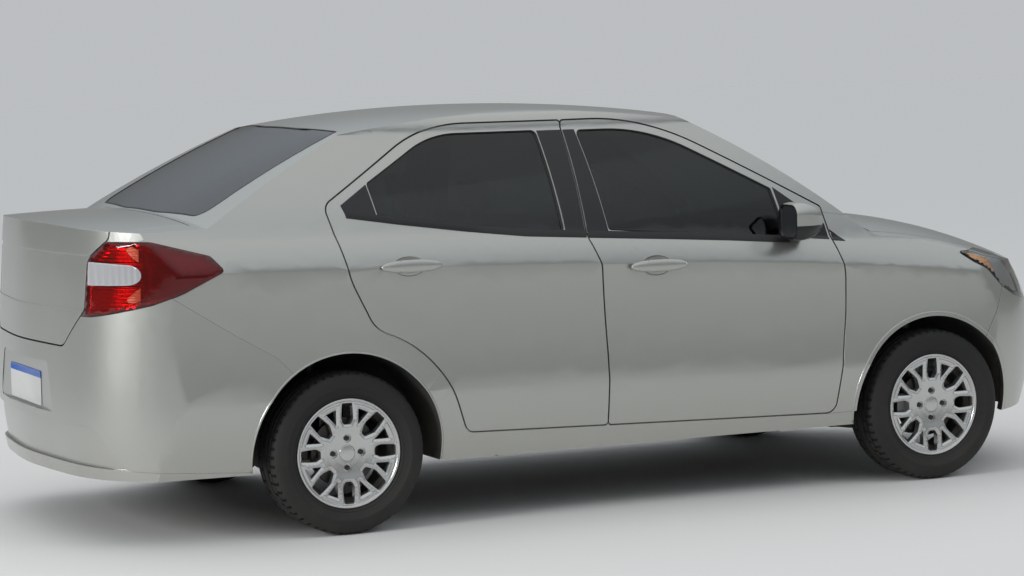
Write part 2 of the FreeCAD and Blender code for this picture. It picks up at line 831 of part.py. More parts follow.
wheel_centre = V(FRONT_AXLE, -WHEEL_PLANE, AXLE_HEIGHT)
wheel = turned(WHEEL_PROFILE, wheel_centre)
for corners, first in ((LONG_WINDOW, 0), (SHORT_WINDOW, 0.5)):
    wheel = wheel.cut([spoke_window(corners, (i + first) * 360 / SPOKES, wheel_centre) for i in range(SPOKES)])
wheel = wheel.fuse(turned(DISC_PROFILE, wheel_centre))
tyre = turned(TYRE_PROFILE, wheel_centre)
for end, shift in (("front", 0), ("rear", REAR_AXLE - FRONT_AXLE)):
    for label, shape in (("wheel", wheel), ("tyre", tyre)):
        moved = shape.copy()
        moved.translate(V(shift, 0, 0))
        for side, piece in zip(("right", "left"), both_sides(moved)):
            keep("%s_%s_%s" % (label, end, side), piece)

# Steering knuckles: hub carrier, caliper, steering arm and strut, turning about the leaning kingpin
def kingpin_bellows(start, end, folds, small, large):
    """Dust gaiter over the spring: cones that widen and narrow in turn."""
    step = (end - start) / folds / 2
    cones = []
    for i in range(folds * 2):
        radii = (small, large) if i % 2 == 0 else (large, small)
        cones.append(Part.makeCone(*radii, step, on_kingpin(start + i * step), KINGPIN_UP))
    return cones[0].fuse(cones[1:])


spindle_end = WHEEL_PLANE + 48
disc_back = WHEEL_PLANE + 7
carrier = Part.makeSphere(45, KINGPIN)
carrier = carrier.fuse([
    cylinder_y(42, FRONT_AXLE, AXLE_HEIGHT, -size("kingpin_offset"), -disc_back + size("seat_clearance")),
    cylinder_y(hub_bore - size("seat_clearance"), FRONT_AXLE, AXLE_HEIGHT, -disc_back + 2, -spindle_end),
    kingpin_rod(20, -105, 0),
    kingpin_rod(30, 40, 140),
    kingpin_rod(size("strut_radius"), 130, strut_length),
    kingpin_rod(62, 336, 344),
    kingpin_rod(56, strut_length - 30, strut_length),
    kingpin_bellows(344, strut_length - 30, 5, 40, 54),
    box((FRONT_AXLE - 135, FRONT_AXLE - 20), (-668, -644), (AXLE_HEIGHT - 62, AXLE_HEIGHT - 36)),
    box((FRONT_AXLE - 60, FRONT_AXLE + 4), (-690, -640), (AXLE_HEIGHT - 60, AXLE_HEIGHT)),
])
caliper = box((FRONT_AXLE - 142, FRONT_AXLE - 84), (-775, -712), (AXLE_HEIGHT - 47, AXLE_HEIGHT + 47))
caliper = caliper.cut(cylinder_y(disc_radius + 4, FRONT_AXLE, AXLE_HEIGHT, -disc_back + 4, -disc_back - 26))
caliper = caliper.cut(cylinder_y(80, FRONT_AXLE, AXLE_HEIGHT, -600, -900))
bracket = box((FRONT_AXLE - 110, FRONT_AXLE), (-724, -700), (AXLE_HEIGHT - 34, AXLE_HEIGHT + 34))
carrier = carrier.fuse([caliper, bracket])
for side, shape in zip(("right", "left"), both_sides(carrier)):
    keep("steering_knuckle_%s" % side, shape)

# Front subframe: cross member, steering rack with its bellows, lower arms and drive shafts
ball = on_kingpin(-105)
ARM = [
    # x, y, corner radius
    (1165, -300, 0),
    (1165, -345, 20),
    (FRONT_AXLE - 30, ball.y + 40, 30),
    (FRONT_AXLE - 30, ball.y - 22, 20),
    (FRONT_AXLE + 30, ball.y - 22, 20),
    (FRONT_AXLE + 26, ball.y + 60, 60),
    (1300, -300, 0),
]
arm_top = ball.z - 20 * math.sin(lean) - size("seat_clearance")
arm_wire = outline_wire(ARM, 0, lambda x, y: V(x, y, arm_top - 20))
arm = Part.Face(arm_wire).extrude(V(0, 0, 20))
half_frame = box((1150, 1300), (-360, 0), (arm_top - 20, 225))
half_frame = half_frame.fuse([
    arm,
    box((1042, 1160), (-300, -220), (arm_top, size("sill_height") - size("seat_clearance"))),
    box((1190, 1270), (-240, -160), (220, 284.7)),
    cylinder_y(24, 1190, 262, -350, 0),
    cylinder_y(32, 1190, 262, -350, -470),
])
keep("front_subframe", whole(half_frame))
shaft = cylinder_y(15, FRONT_AXLE, AXLE_HEIGHT, -330.3, -560)
shaft = shaft.fuse(cylinder_y(30, FRONT_AXLE, AXLE_HEIGHT, -545, -600))
keep("drive_shafts", Part.makeCompound(both_sides(shaft)))

# Engine and gearbox as one plain block
engine = box((1178, 1640), (-330, 330), (285, 800))
engine = engine.makeChamfer(28, engine.Edges)
keep("engine_block", engine)

# Radiator between two cross bars, in front of the engine
radiator = box((1850, 1886), (-320, 0), (300, 715))
bars = [box((1846, 1890), (-800, 0), (z, z + 36)).common(INSIDE) for z in (300, 690)]
keep("radiator", whole(radiator.fuse(bars)))

# Rear axle: twist beam, trailing arms, springs and dampers
half_axle = cylinder_y(36, REAR_AXLE + 150, 275, -530, 0)
half_axle = half_axle.fuse([
    box((REAR_AXLE - 60, REAR_AXLE + 380), (-545, -500), (248, 312)),
    cylinder_y(34, REAR_AXLE + 380, 280, -545, -480),
    box((REAR_AXLE + 355, REAR_AXLE + 405), (-545, -490), (290, 451.7)),
    cylinder_y(44, REAR_AXLE, AXLE_HEIGHT, -520, -disc_back + size("seat_clearance")),
    cylinder_y(hub_bore - size("seat_clearance"), REAR_AXLE, AXLE_HEIGHT, -disc_back + 2, -spindle_end),
    Part.makeCylinder(21, 356.1, V(REAR_AXLE - 60, -592, 298), V(0, 0, 1)),
    box((REAR_AXLE - 84, REAR_AXLE - 36), (-614, -505), (262, 300)),
    Part.makeCylinder(46, 131.7, V(REAR_AXLE + 70, -470, 320), V(0, 0, 1)),
    box((REAR_AXLE + 20, REAR_AXLE + 120), (-520, -420), (305, 322)),
])
keep("rear_axle", whole(half_axle))

# Floor pan with centre tunnel, kick-up under the rear seat and spare wheel well
floor_low = size("floor_height")
floor_high = size("boot_floor_height")
pan_sheet = size("pan_sheet")
PAN_TOP = [
    # x, z
    (1039, floor_low),
    (-560, floor_low),
    (-700, floor_high),
    (-2200, floor_high),
]
pan_points = [V(x, -900, z) for x, z in PAN_TOP] + [V(x, -900, z + pan_sheet) for x, z in reversed(PAN_TOP)]
pan = Part.Face(Part.makePolygon(pan_points + pan_points[:1])).extrude(V(0, 900, 0))
tunnel_half = size("tunnel_width") / 2
pan = pan.fuse(box((-560, 1039), (-tunnel_half, 0), (floor_low, 388)))
pan = pan.cut(box((-580, 1045), (-tunnel_half + pan_sheet, 0), (0, 388 - pan_sheet)))
well = Part.makeCylinder(300, floor_high - 262, V(-1700, 0, 262))
pan = pan.fuse(well.common(box((-2200, 0), (-900, 0), (0, 600))))
pan = pan.cut(Part.makeCylinder(300 - pan_sheet, 400, V(-1700, 0, 262 + pan_sheet)))
rear_house = cylinder_y(size("rear_arch_radius") + size("house_sheet") + SEAM, REAR_AXLE, AXLE_HEIGHT,
                        -1000, -house_wall + size("house_sheet") + SEAM)
front_house = cylinder_y(house + size("toe_sheet") + SEAM, FRONT_AXLE, AXLE_HEIGHT,
                         -1000, -front_wall + 12 + SEAM)
keep("floor_pan", whole(pan.common(INSIDE).cut([rear_house, front_house])))

# Fuel tank beside the exhaust, and the exhaust from the tunnel to the silencer at the back
tank = box((-940, -712), (-60, 470), (236, 451.7))
tank = tank.makeFillet(24, tank.Edges)
keep("fuel_tank", tank)


def route(points, bend):
    """Straight runs through the points with an arc of radius bend at each corner."""
    edges = []
    start = points[0]
    for before, corner, after in zip(points, points[1:], points[2:]):
        to_before = (before - corner).normalize()
        to_after = (after - corner).normalize()
        angle = to_before.getAngle(to_after)
        tangent = bend / math.tan(angle / 2)
        middle = (to_before + to_after).normalize() * (bend / math.sin(angle / 2) - bend)
        edges.append(Part.LineSegment(start, corner + to_before * tangent).toShape())
        end = corner + to_after * tangent
        edges.append(Part.Arc(corner + to_before * tangent, corner + middle, end).toShape())
        start = end
    edges.append(Part.LineSegment(start, points[-1]).toShape())
    return Part.Wire(edges)


EXHAUST = [
    V(1177.7, 0, 460),
    V(1115, 0, 460),
    V(1115, 0, 310),
    V(-300, 0, 310),
    V(-430, 0, 200),
    V(-640, -230, 200),
    V(-1250, -230, 196),
    V(-1440, -395, 300),
    V(-1560, -395, 330),
]
exhaust_radius = size("exhaust_radius")
ring = Part.Wire(Part.makeCircle(exhaust_radius, EXHAUST[0], EXHAUST[1] - EXHAUST[0]))
pipe = route(EXHAUST, 50).makePipeShell([ring], True, False)
silencer = box((-1960, -1540), (-500, -318), (262, 420))
silencer = silencer.makeFillet(60, [e for e in silencer.Edges if abs(e.tangentAt(0).x) > 0.9])
tail = Part.makeCylinder(20, 60, V(-1945, -420, 292), V(-0.6, 0, -0.8))
hangers = [box((x - 8, x + 8), (-417, -401), (415, 451.7)) for x in (-1600, -1900)]
keep("exhaust", pipe.fuse([silencer, tail] + hangers))

# Front seats: cushion, back rest and head rest on two rails
SEAT_CUSHION = [
    # x, z, corner radius
    (-250, 320, 20),
    (300, 330, 20),
    (318, 470, 40),
    (230, 505, 60),
    (-120, 455, 80),
    (-250, 440, 20),
]
SEAT_BACK = [
    (-360, 420, 40),
    (-210, 400, 40),
    (-190, 520, 60),
    (-330, 1060, 50),
    (-440, 1080, 40),
    (-470, 1000, 60),
]
HEAD_REST = [
    (-455, 1115, 30),
    (-370, 1108, 30),
    (-385, 1262, 30),
    (-475, 1268, 30),
]


def upholstery(corners, middle, width):
    wire = outline_wire(corners, 0, lambda x, z: V(x, middle - width / 2, z))
    return Part.Face(wire).extrude(V(0, width, 0))


pan_top = floor_low + pan_sheet + size("seat_clearance")
front_seats = []
for side in (-1, 1):
    middle = side * size("seat_spacing") / 2
    width = size("seat_width")
    seat = upholstery(SEAT_CUSHION, middle, width).fuse([
        upholstery(SEAT_BACK, middle, width - 20),
        upholstery(HEAD_REST, middle, 260),
        box((-430, -405), (middle - 70, middle - 56), (1050, 1140)),
        box((-430, -405), (middle + 56, middle + 70), (1050, 1140)),
        box((-230, 290), (middle - 180, middle - 150), (pan_top, 330)),
        box((-230, 290), (middle + 150, middle + 180), (pan_top, 330)),
    ])
    front_seats.append(seat)
keep("front_seats", Part.makeCompound(front_seats))

# Rear bench between the wheel housings, on the kick-up of the floor
high_top = floor_high + pan_sheet + size("seat_clearance")
BENCH = [
    # x, z, corner radius
    (-556, 300, 10),
    (-500, 300, 20),
    (-488, 470, 40),
    (-540, 525, 40),
    (-900, 485, 60),
    (-1000, 520, 20),
    (-1000, high_top, 0),
    (-694, high_top, 5),
]
BENCH_BACK = [
    (-1090, 500, 0),
    (-950, 480, 40),
    (-1150, 1010, 50),
    (-1280, 1045, 20),
    (-1285, 1000, 20),
]
bench = upholstery(BENCH, 0, 1080).cut(box((-700, -400), (-tunnel_half - 2, tunnel_half + 2), (0, 390)))
bench = bench.fuse(upholstery(BENCH_BACK, 0, 1080))
bench = bench.fuse([box((-1286, -1205), (y - 120, y + 120), (1020, 1130)) for y in (-330, 330)])
bench = bench.fuse(box((-1110, -980), (-540, 540), (high_top, 520)))
keep("rear_seat", bench)

# Dashboard with steering column and the console over the tunnel
DASH = [
    # x, z, corner radius
    (1035, 640, 0),
    (1035, 960, 30),
    (900, 985, 60),
    (640, 950, 60),
    (556, 890, 30),
    (548, 800, 30),
    (620, 700, 60),
    (780, 640, 30),
]
dash = upholstery(DASH, -400, 800).common(INSIDE)
console = box((-220, 800), (-105, 0), (388 + size("seat_clearance"), 520))
console = console.fuse(box((640, 800), (-105, 0), (500, 700)))
half_dash = dash.fuse(console)
wheel_tilt = math.radians(25)
column_axis = V(-math.cos(wheel_tilt), 0, math.sin(wheel_tilt))
hand_wheel_centre = V(452, size("seat_spacing") / 2, 905)
column_start = hand_wheel_centre - column_axis * 230
column = Part.makeCylinder(30, 230 - 36 - size("seat_clearance"), column_start, column_axis)
keep("dashboard", whole(half_dash).fuse(column))

# Steering wheel: padded rim, hub and three spokes
turn = FreeCAD.Rotation(V(0, 0, 1), column_axis)
hand_rim = Part.makeTorus(size("steering_wheel_radius"), 15)
hand_hub = Part.makeCylinder(60, 50, V(0, 0, -36))
spokes = [Part.makeBox(size("steering_wheel_radius") - 40, 34, 14, V(30, -17, -12)) for _ in range(3)]
for spoke, angle in zip(spokes, (90, 270, 0)):
    spoke.rotate(V(0, 0, 0), V(0, 0, 1), angle)
hand_wheel = hand_rim.fuse([hand_hub] + spokes)
hand_wheel.Placement = FreeCAD.Placement(hand_wheel_centre, turn)
keep("steering_wheel", hand_wheel)

# Door mirrors: an egg-shaped head, flat where the glass sits, on a foot at the window's corner
CLEAR_OF_SKIN = body_form(*[-size("seat_clearance")] * 4)
MIRROR_HEAD = [
    # x, half width, half height
    (664, 72, 66),
    (690, 77, 72),
    (740, 70, 65),
    (785, 46, 44),
    (806, 20, 20),
]
ovals = []
for x, half_width, half_height in MIRROR_HEAD:
    round_off = min(half_width, half_height) * 0.62
    quarters = ((-1, -1), (1, -1), (1, 1), (-1, 1))
    corners = [(side * half_width, up * half_height, round_off) for side, up in quarters]
    ovals.append(outline_wire(corners, 0, lambda y, z: V(x, y - 878, z + 1058)))
head = smooth_loft(ovals)
foot = box((704, 778), (-860, -700), (985, 1024))
foot = foot.makeFillet(8, foot.Edges)
mirror = head.fuse(foot).cut(CLEAR_OF_SKIN)
mirror = max(mirror.Solids, key=lambda s: s.Volume)
for side, shape in zip(("right", "left"), both_sides(mirror)):
    keep("door_mirror_%s" % side, shape)

# Check every object and write one file for each sub-part
doc.recompute()
for item in doc.Objects:
    if "Invalid" in item.State or "Error" in item.State:
        raise RuntimeError("failed: " + item.Name)
os.makedirs("parts", exist_ok=True)
for item in SUBPARTS:
    shape = item.Shape
    if shape.isNull() or not shape.isValid():
        raise RuntimeError("bad shape: " + item.Label)
    shape.exportStep("parts/%s.step" % item.Label)
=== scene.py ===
import bpy, bmesh, json, math
from mathutils import Matrix, Vector
from mathutils.bvhtree import BVHTree


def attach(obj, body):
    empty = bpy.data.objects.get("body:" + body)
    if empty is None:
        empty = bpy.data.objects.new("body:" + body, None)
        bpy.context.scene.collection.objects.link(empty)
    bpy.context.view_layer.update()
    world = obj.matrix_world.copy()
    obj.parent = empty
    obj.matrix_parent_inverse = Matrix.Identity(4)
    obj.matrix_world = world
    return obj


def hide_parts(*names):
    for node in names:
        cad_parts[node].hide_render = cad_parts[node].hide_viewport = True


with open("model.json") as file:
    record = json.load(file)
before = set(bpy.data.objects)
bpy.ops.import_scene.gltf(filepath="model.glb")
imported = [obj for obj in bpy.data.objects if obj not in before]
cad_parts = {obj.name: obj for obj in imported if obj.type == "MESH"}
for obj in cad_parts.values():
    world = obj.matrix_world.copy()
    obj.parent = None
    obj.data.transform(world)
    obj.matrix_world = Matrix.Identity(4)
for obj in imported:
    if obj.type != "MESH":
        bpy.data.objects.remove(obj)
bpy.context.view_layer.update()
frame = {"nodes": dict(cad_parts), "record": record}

# The studio: a pale floor, a pale surround and wide soft lamps. The camera stands behind
# the car on its right and looks along its side.
def place_object(name, data):
    made = bpy.data.objects.new(name, data)
    bpy.context.collection.objects.link(made)
    return made


def to_data(mesh, name):
    data = bpy.data.meshes.new(name)
    mesh.to_mesh(data)
    mesh.free()
    return data


def feed(node, inputs):
    """Give each named input of a shader node a link from a socket, or a plain value."""
    for name, value in inputs.items():
        if isinstance(value, bpy.types.NodeSocket):
            node.id_data.links.new(value, node.inputs[name])
        else:
            node.inputs[name].default_value = value
    return node


def put(thing, **values):
    """Set several values of a thing and hand it back."""
    for name, value in values.items():
        setattr(thing, name, value)
    return thing


def new_node(tree, kind, inputs=(), **settings):
    return feed(put(tree.nodes.new("ShaderNode" + kind), **settings), dict(inputs))


def new_material(name):
    """A plain material and its main shader."""
    material = bpy.data.materials.new(name)
    material.use_nodes = True
    return material, material.node_tree.nodes["Principled BSDF"]


view_yaw, view_pitch, view_roll = (math.radians(angle) for angle in (24.71, -5.0, -1.21))
forward = Vector((math.sin(view_yaw) * math.cos(view_pitch), math.cos(view_yaw) * math.cos(view_pitch),
                  math.sin(view_pitch)))
level_right = forward.cross(Vector((0, 0, 1))).normalized()
level_up = level_right.cross(forward)
right = level_right * math.cos(view_roll) + level_up * math.sin(view_roll)
up = level_up * math.cos(view_roll) - level_right * math.sin(view_roll)
camera_data = put(bpy.data.cameras.new("camera"), lens=107.2, sensor_width=36, clip_end=200)
camera = place_object("camera", camera_data)
camera.matrix_world = Matrix((right, up, -forward)).transposed().to_4x4()
camera.matrix_world.translation = (-5.1695, -11.017, 1.845)
bpy.context.scene.camera = camera
bpy.context.scene.view_settings.view_transform = "Standard"

floor_mesh = bmesh.new()
bmesh.ops.create_grid(floor_mesh, x_segments=1, y_segments=1, size=60)
floor = place_object("floor", to_data(floor_mesh, "floor"))
floor_paint, floor_shader = new_material("floor_paint")
feed(floor_shader, {"Base Color": (0.74, 0.735, 0.72, 1), "Roughness": 0.85})
floor.data.materials.append(floor_paint)

surround = bpy.data.worlds.new("surround")
surround.use_nodes = True
air = surround.node_tree
sky_axes = new_node(air, "SeparateXYZ", {0: new_node(air, "TexCoord").outputs["Generated"]})
sky_shades = new_node(air, "ValToRGB", {"Fac": sky_axes.outputs["Z"]})
stops = sky_shades.color_ramp.elements
for place, shade in ((0.0, (0.20, 0.20, 0.18)), (0.13, (0.22, 0.225, 0.22)), (0.34, (0.56, 0.61, 0.67)),
                     (0.66, (0.90, 0.95, 1.0)), (1.0, (1.0, 1.0, 1.0))):
    stop = stops.new(place) if 0 < place < 1 else stops[0 if place == 0 else -1]
    stop.color = (*shade, 1)
seen_by = new_node(air, "LightPath")
plain_or_sky = new_node(air, "Mix", {0: seen_by.outputs["Is Camera Ray"], 6: sky_shades.outputs["Color"],
                                     7: (0.610, 0.628, 0.643, 1)}, data_type="RGBA")
feed(air.nodes["Background"], {"Color": plain_or_sky.outputs[2], "Strength": 0.82})
bpy.context.scene.world = surround
for name, place, aim, size, power, beam in (
        ("rear_lamp", (-9.5, -2.6, 3.6), (-1.0, -0.6, 0.7), 2.4, 43, 60),
        ("side_lamp", (4.5, -7.0, 7.5), (0.3, 0, 0.6), 3.5, 70, 180),
        ("roof_lamp", (0, 3.0, 8.0), (0, 0, 0.0), 6.0, 90, 180)):
    lamp_data = put(bpy.data.lights.new(name, "AREA"), shape="SQUARE", size=size, energy=power,
                    spread=math.radians(beam))
    lamp = put(place_object(name, lamp_data), location=place, visible_glossy=name == "rear_lamp")
    lamp.rotation_euler = (Vector(aim) - Vector(place)).to_track_quat("-Z", "Y").to_euler()


# Outer panels: pressed steel and moulded bumpers, all in one silver metallic paint under
# clear lacquer, with fine flakes in the paint and a little road dust low on the body.
# Their inner faces are trimmed: black felt in the wheel housings, grey moulded trim in the cabin.
def effect_group(name, inputs, outputs):
    group = bpy.data.node_groups.new(name, "ShaderNodeTree")
    for label, value in inputs:
        group.interface.new_socket(label, in_out="INPUT", socket_type="NodeSocketFloat").default_value = value
    for label in outputs:
        group.interface.new_socket(label, in_out="OUTPUT", socket_type="NodeSocketFloat")
    return group, group.nodes.new("NodeGroupInput"), group.nodes.new("NodeGroupOutput")


dust_group, dust_in, dust_out = effect_group("road_dust", [("Top", 0.5), ("Amount", 0.5)], ["Mask"])
dust_place = new_node(dust_group, "TexCoord").outputs["Object"]
dust_axes = new_node(dust_group, "SeparateXYZ", {0: dust_place})
dust_fade = new_node(dust_group, "MapRange", {"Value": dust_axes.outputs["Z"], "From Min": 0.15,
                                              "From Max": dust_in.outputs["Top"], "To Min": 1, "To Max": 0})
dust_cloud = new_node(dust_group, "TexNoise", {"Vector": dust_place, "Scale": 9, "Detail": 6})
dust_mix = new_node(dust_group, "Math", {0: dust_fade.outputs["Result"], 1: dust_cloud.outputs[0]},
                    operation="MULTIPLY")
dust_amount = new_node(dust_group, "Math", {0: dust_mix.outputs[0], 1: dust_in.outputs["Amount"]},
                       operation="MULTIPLY")
feed(dust_out, {"Mask": dust_amount.outputs[0]})

grain_group, grain_in, grain_out = effect_group(
    "fine_grain", [("Scale", 400.0), ("Contrast", 0.5)], ["Height", "Tone"])
grain_place = new_node(grain_group, "TexCoord").outputs["Object"]
grain_noise = new_node(grain_group, "TexNoise", {"Vector": grain_place, "Scale": grain_in.outputs["Scale"],
                                                 "Detail": 3})
grain_cells = new_node(grain_group, "TexVoronoi", {"Vector": grain_place, "Scale": grain_in.outputs["Scale"]})
grain_low = new_node(grain_group, "Math", {0: 1, 1: grain_in.outputs["Contrast"]}, operation="SUBTRACT")
grain_tone = new_node(grain_group, "MapRange", {"Value": grain_noise.outputs[0],
                                                "To Min": grain_low.outputs[0]})
feed(grain_out, {"Tone": grain_tone.outputs["Result"], "Height": grain_cells.outputs["Distance"]})


def new_finish(name, colour, metallic, roughness, grain_scale, grain_depth, contrast=0.2, dust=0.0,
               dust_top=0.5, others=()):
    """A material with the shared effects: grain in its tone and relief, and dust low on the car."""
    finish, shader = new_material(name)
    tree = finish.node_tree
    grain = new_node(tree, "Group", {"Scale": grain_scale, "Contrast": contrast}, node_tree=grain_group)
    tone = new_node(tree, "Mix", {0: grain.outputs["Tone"], 6: [c * 0.35 for c in colour] + [1],
                                  7: [*colour, 1]}, data_type="RGBA").outputs[2]
    if dust:
        dusty = new_node(tree, "Group", {"Top": dust_top, "Amount": dust}, node_tree=dust_group)
        tone = new_node(tree, "Mix", {0: dusty.outputs["Mask"], 6: tone, 7: (0.36, 0.32, 0.26, 1)},
                        data_type="RGBA").outputs[2]
    feed(shader, {"Metallic": metallic, "Roughness": roughness, "Base Color": tone, **dict(others)})
    if grain_depth:
        relief = new_node(tree, "Bump", {"Distance": grain_depth, "Strength": 0.6,
                                         "Height": grain.outputs["Height"]})
        feed(shader, {"Normal": relief.outputs["Normal"]})
    return finish


silver_paint = new_finish("silver_paint", (0.48, 0.485, 0.455), 0.82, 0.33, 2600, 0, 0.10, 0.40, 0.42,
                          {"Coat Weight": 0.5, "Coat Roughness": 0.10})
liner_felt = new_finish("liner_felt", (0.016, 0.016, 0.015), 0, 0.95, 900, 0.0008, 0.5, 0.5, 0.6)
cabin_trim = new_finish("cabin_trim", (0.055, 0.054, 0.052), 0, 0.62, 1500, 0.0003, 0.25)
headliner = new_finish("headliner", (0.42, 0.41, 0.38), 0, 0.95, 1800, 0.0004, 0.3)
BODY_OF = {node: body for body, nodes in frame["record"]["behaviour"]["bodies"].items() for node in nodes}
WELD = 0.00002
AXLES = {"front": 1.352, "rear": -1.139}
AXLE_HEIGHT = 0.2975
HOUSING_RADIUS = 0.3668


def in_wheel_housing(place, normal):
    outwards = normal.y * math.copysign(1, place.y)
    near_axle = any(math.hypot(place.x - x, place.z - AXLE_HEIGHT) < HOUSING_RADIUS for x in AXLES.values())
    return near_axle and (outwards < 0.4 or abs(place.y) < 0.72)


def faces_inwards(place, normal):
    side = math.copysign(1, place.y)
    return normal.y * side < -0.12 and abs(place.y) > 0.2


def in_cabin(place, normal):
    return -2.08 < place.x < 1.03 and place.z > 0.25 and (faces_inwards(place, normal) or normal.z < -0.5)


def in_intake(place, normal):
    in_mouth = abs(place.y) < 0.50 and place.x > 1.80
    return in_mouth and (0.329 < place.z < 0.401 or 0.296 < place.z < 0.432 and normal.x < 0.985)


def behind_panel(place, normal):
    return in_wheel_housing(place, normal) or faces_inwards(place, normal)


def cad_copy(node):
    """A copy of a CAD node's mesh, its loose triangles joined."""
    mesh = bmesh.new()
    mesh.from_mesh(frame["nodes"][node].data)
    bmesh.ops.remove_doubles(mesh, verts=mesh.verts, dist=WELD)
    return mesh


def add_piece(name, mesh, finishes, body, slot, sharp=35.0, thick=0.0, edge=0.0, edge_angle=40):
    """Finish a bmesh as an object that rides on a body. thick gives a sheet a wall inwards."""
    data = to_data(mesh, name)
    data.shade_smooth()
    data.set_sharp_from_angle(angle=math.radians(sharp))
    for finish in finishes:
        data.materials.append(finish)
    piece = place_object(name, data)
    if thick:
        put(piece.modifiers.new("wall", "SOLIDIFY"), thickness=thick, offset=-1)
    if edge:
        put(piece.modifiers.new("rounding", "BEVEL"), width=edge, segments=2, limit_method="ANGLE",
            angle_limit=math.radians(edge_angle))
        piece.modifiers.new("even_shade", "WEIGHTED_NORMAL").keep_sharp = True
    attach(piece, body)
    return piece


def dress(node, finish, slot, edge=0.0012, sharp=28.0, linings=()):
    """A smooth copy of a CAD node, its edges turned over. linings gives other finishes to some faces."""
    mesh = cad_copy(node)
    for face in mesh.faces:
        face.material_index = 0
        place = face.calc_center_median()
        for number, (lining, lined) in enumerate(linings, start=1):
            if lined(place, face.normal):
                face.material_index = number
    skin = add_piece(node + "_skin", mesh, [finish] + [lining for lining, lined in linings], BODY_OF[node],
                     slot, sharp, edge=edge, edge_angle=50)
    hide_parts(node)


door_lining = [(cabin_trim, faces_inwards)]
PANEL_LININGS = {
    "body_shell": [(cabin_trim, in_cabin), (liner_felt, in_wheel_housing)],
    "roof_panel": [(headliner, lambda place, normal: normal.z < -0.3)],
    "bonnet": [],
    "boot_lid": [],
    "fender_right": [(liner_felt, behind_panel)],
    "fender_left": [(liner_felt, behind_panel)],
    "front_bumper": [(liner_felt, lambda place, normal: behind_panel(place, normal) or normal.x < -0.3
                      or in_intake(place, normal))],
    "rear_bumper": [(liner_felt, lambda place, normal: behind_panel(place, normal) or normal.x > 0.3)],
    "door_front_right": door_lining,
    "door_front_left": door_lining,
    "door_rear_right": door_lining,
    "door_rear_left": door_lining,
}
for node, linings in PANEL_LININGS.items():
    dress(node, silver_paint, "silver_paint", linings=linings)

# Windows: tempered side glass and laminated screens with a dark film, so that the cabin
# shows only faintly behind them. Black rubber seals run round every pane.
tinted_glass, glass_shader = new_material("tinted_glass")
glass_tree = tinted_glass.node_tree
glass_film = new_node(glass_tree, "TexNoise", {"Vector": new_node(glass_tree, "TexCoord").outputs["Object"],
                                               "Scale": 3})
glass_tint = new_node(glass_tree, "Mix", {0: glass_film.outputs[0], 6: (0.05, 0.062, 0.06, 1),
                                          7: (0.08, 0.095, 0.09, 1)}, data_type="RGBA")
feed(glass_shader, {"Roughness": 0.02, "IOR": 1.5, "Transmission Weight": 1.0,
                    "Base Color": glass_tint.outputs[2]})
for node in ("window_front_right", "window_front_left", "window_rear_right", "window_rear_left", "windscreen",
             "rear_window"):
    dress(node, tinted_glass, "tinted_glass", edge=0)
rubber = new_finish("seal_rubber", (0.014, 0.014, 0.014), 0, 0.55, 700, 0.0002, 0.3)
gloss_black = new_finish("gloss_black", (0.010, 0.010, 0.011), 0, 0.09, 300, 0, 0.1)


def add_pair(name, mesh, finishes, body, slot, **finishing):
    """The piece on the right and its mirror image on the left. body has %s where the side's word goes."""
    pair = [add_piece(name + "_right", mesh.copy(), finishes, body.replace("%s", "right"), slot, **finishing)]
    bmesh.ops.scale(mesh, vec=(1, -1, 1), verts=mesh.verts)
    bmesh.ops.reverse_faces(mesh, faces=mesh.faces)
    pair.append(add_piece(name + "_left", mesh, finishes, body.replace("%s", "left"), slot, **finishing))
    return pair


def outer_sheet(node, is_outer, half=None):
    """The outer faces of a CAD node as one joined sheet."""
    mesh = cad_copy(node)
    spare = [face for face in mesh.faces
             if not is_outer(face.normal) or (half and face.calc_center_median().y * half < 0)]
    bmesh.ops.delete(mesh, geom=spare, context="FACES")
    return mesh


def edge_band(mesh, width, lift):
    """Keep only a band of this width along the border of a sheet, lifted off it."""
    kept = set(bmesh.ops.inset_region(mesh, faces=mesh.faces, thickness=width, use_boundary=True,
                                      use_even_offset=False)["faces"])
    bmesh.ops.delete(mesh, geom=[f for f in mesh.faces if f not in kept], context="FACES")
    for vert in mesh.verts:
        vert.co += vert.normal * lift
    return mesh


for end in ("front", "rear"):
    seal = edge_band(outer_sheet("window_%s_right" % end, lambda normal: normal.y < -0.3), 0.007, 0.003)
    add_pair("window_seal_" + end, seal, [rubber], "door_%s_%%s" % end, "black_plastic", thick=0.003)
for node, rearwards in (("windscreen", -1), ("rear_window", 1)):
    screen = outer_sheet(node, lambda normal: normal.z > 0.3 and normal.x * rearwards < 0)
    seal = edge_band(screen, 0.009, 0.0016)
    add_piece(node + "_seal", seal, [rubber], "body", "black_plastic", thick=0.002)

# Black trims on the doors: the wiping strip along the belt line, the gloss covers of the
# middle pillar, the divider and corner behind the rear glass, and the sail patch that
# carries the mirror. All are thin mouldings clipped over the painted frame.
def skin_tree(*nodes):
    skins = bmesh.new()
    for node in nodes:
        skins.from_mesh(frame["nodes"][node].data)
    tree = BVHTree.FromBMesh(skins)
    skins.free()
    return tree


def on_skin(tree, x, z, proud):
    """The point of the right-hand skin at this x and z, lifted off it."""
    hit, normal = tree.ray_cast(Vector((x, -1.3, z)), Vector((0, 1, 0)))[:2]
    if hit is None:
        hit, normal = tree.find_nearest(Vector((x, -0.8, z)))[:2]
    return hit + normal * proud


def unit_sheet(steps):
    """A flat sheet of side 1 about the origin, with this many steps along it and across it."""
    mesh = bmesh.new()
    bmesh.ops.create_grid(mesh, x_segments=steps[0], y_segments=steps[1], size=0.5)
    return mesh


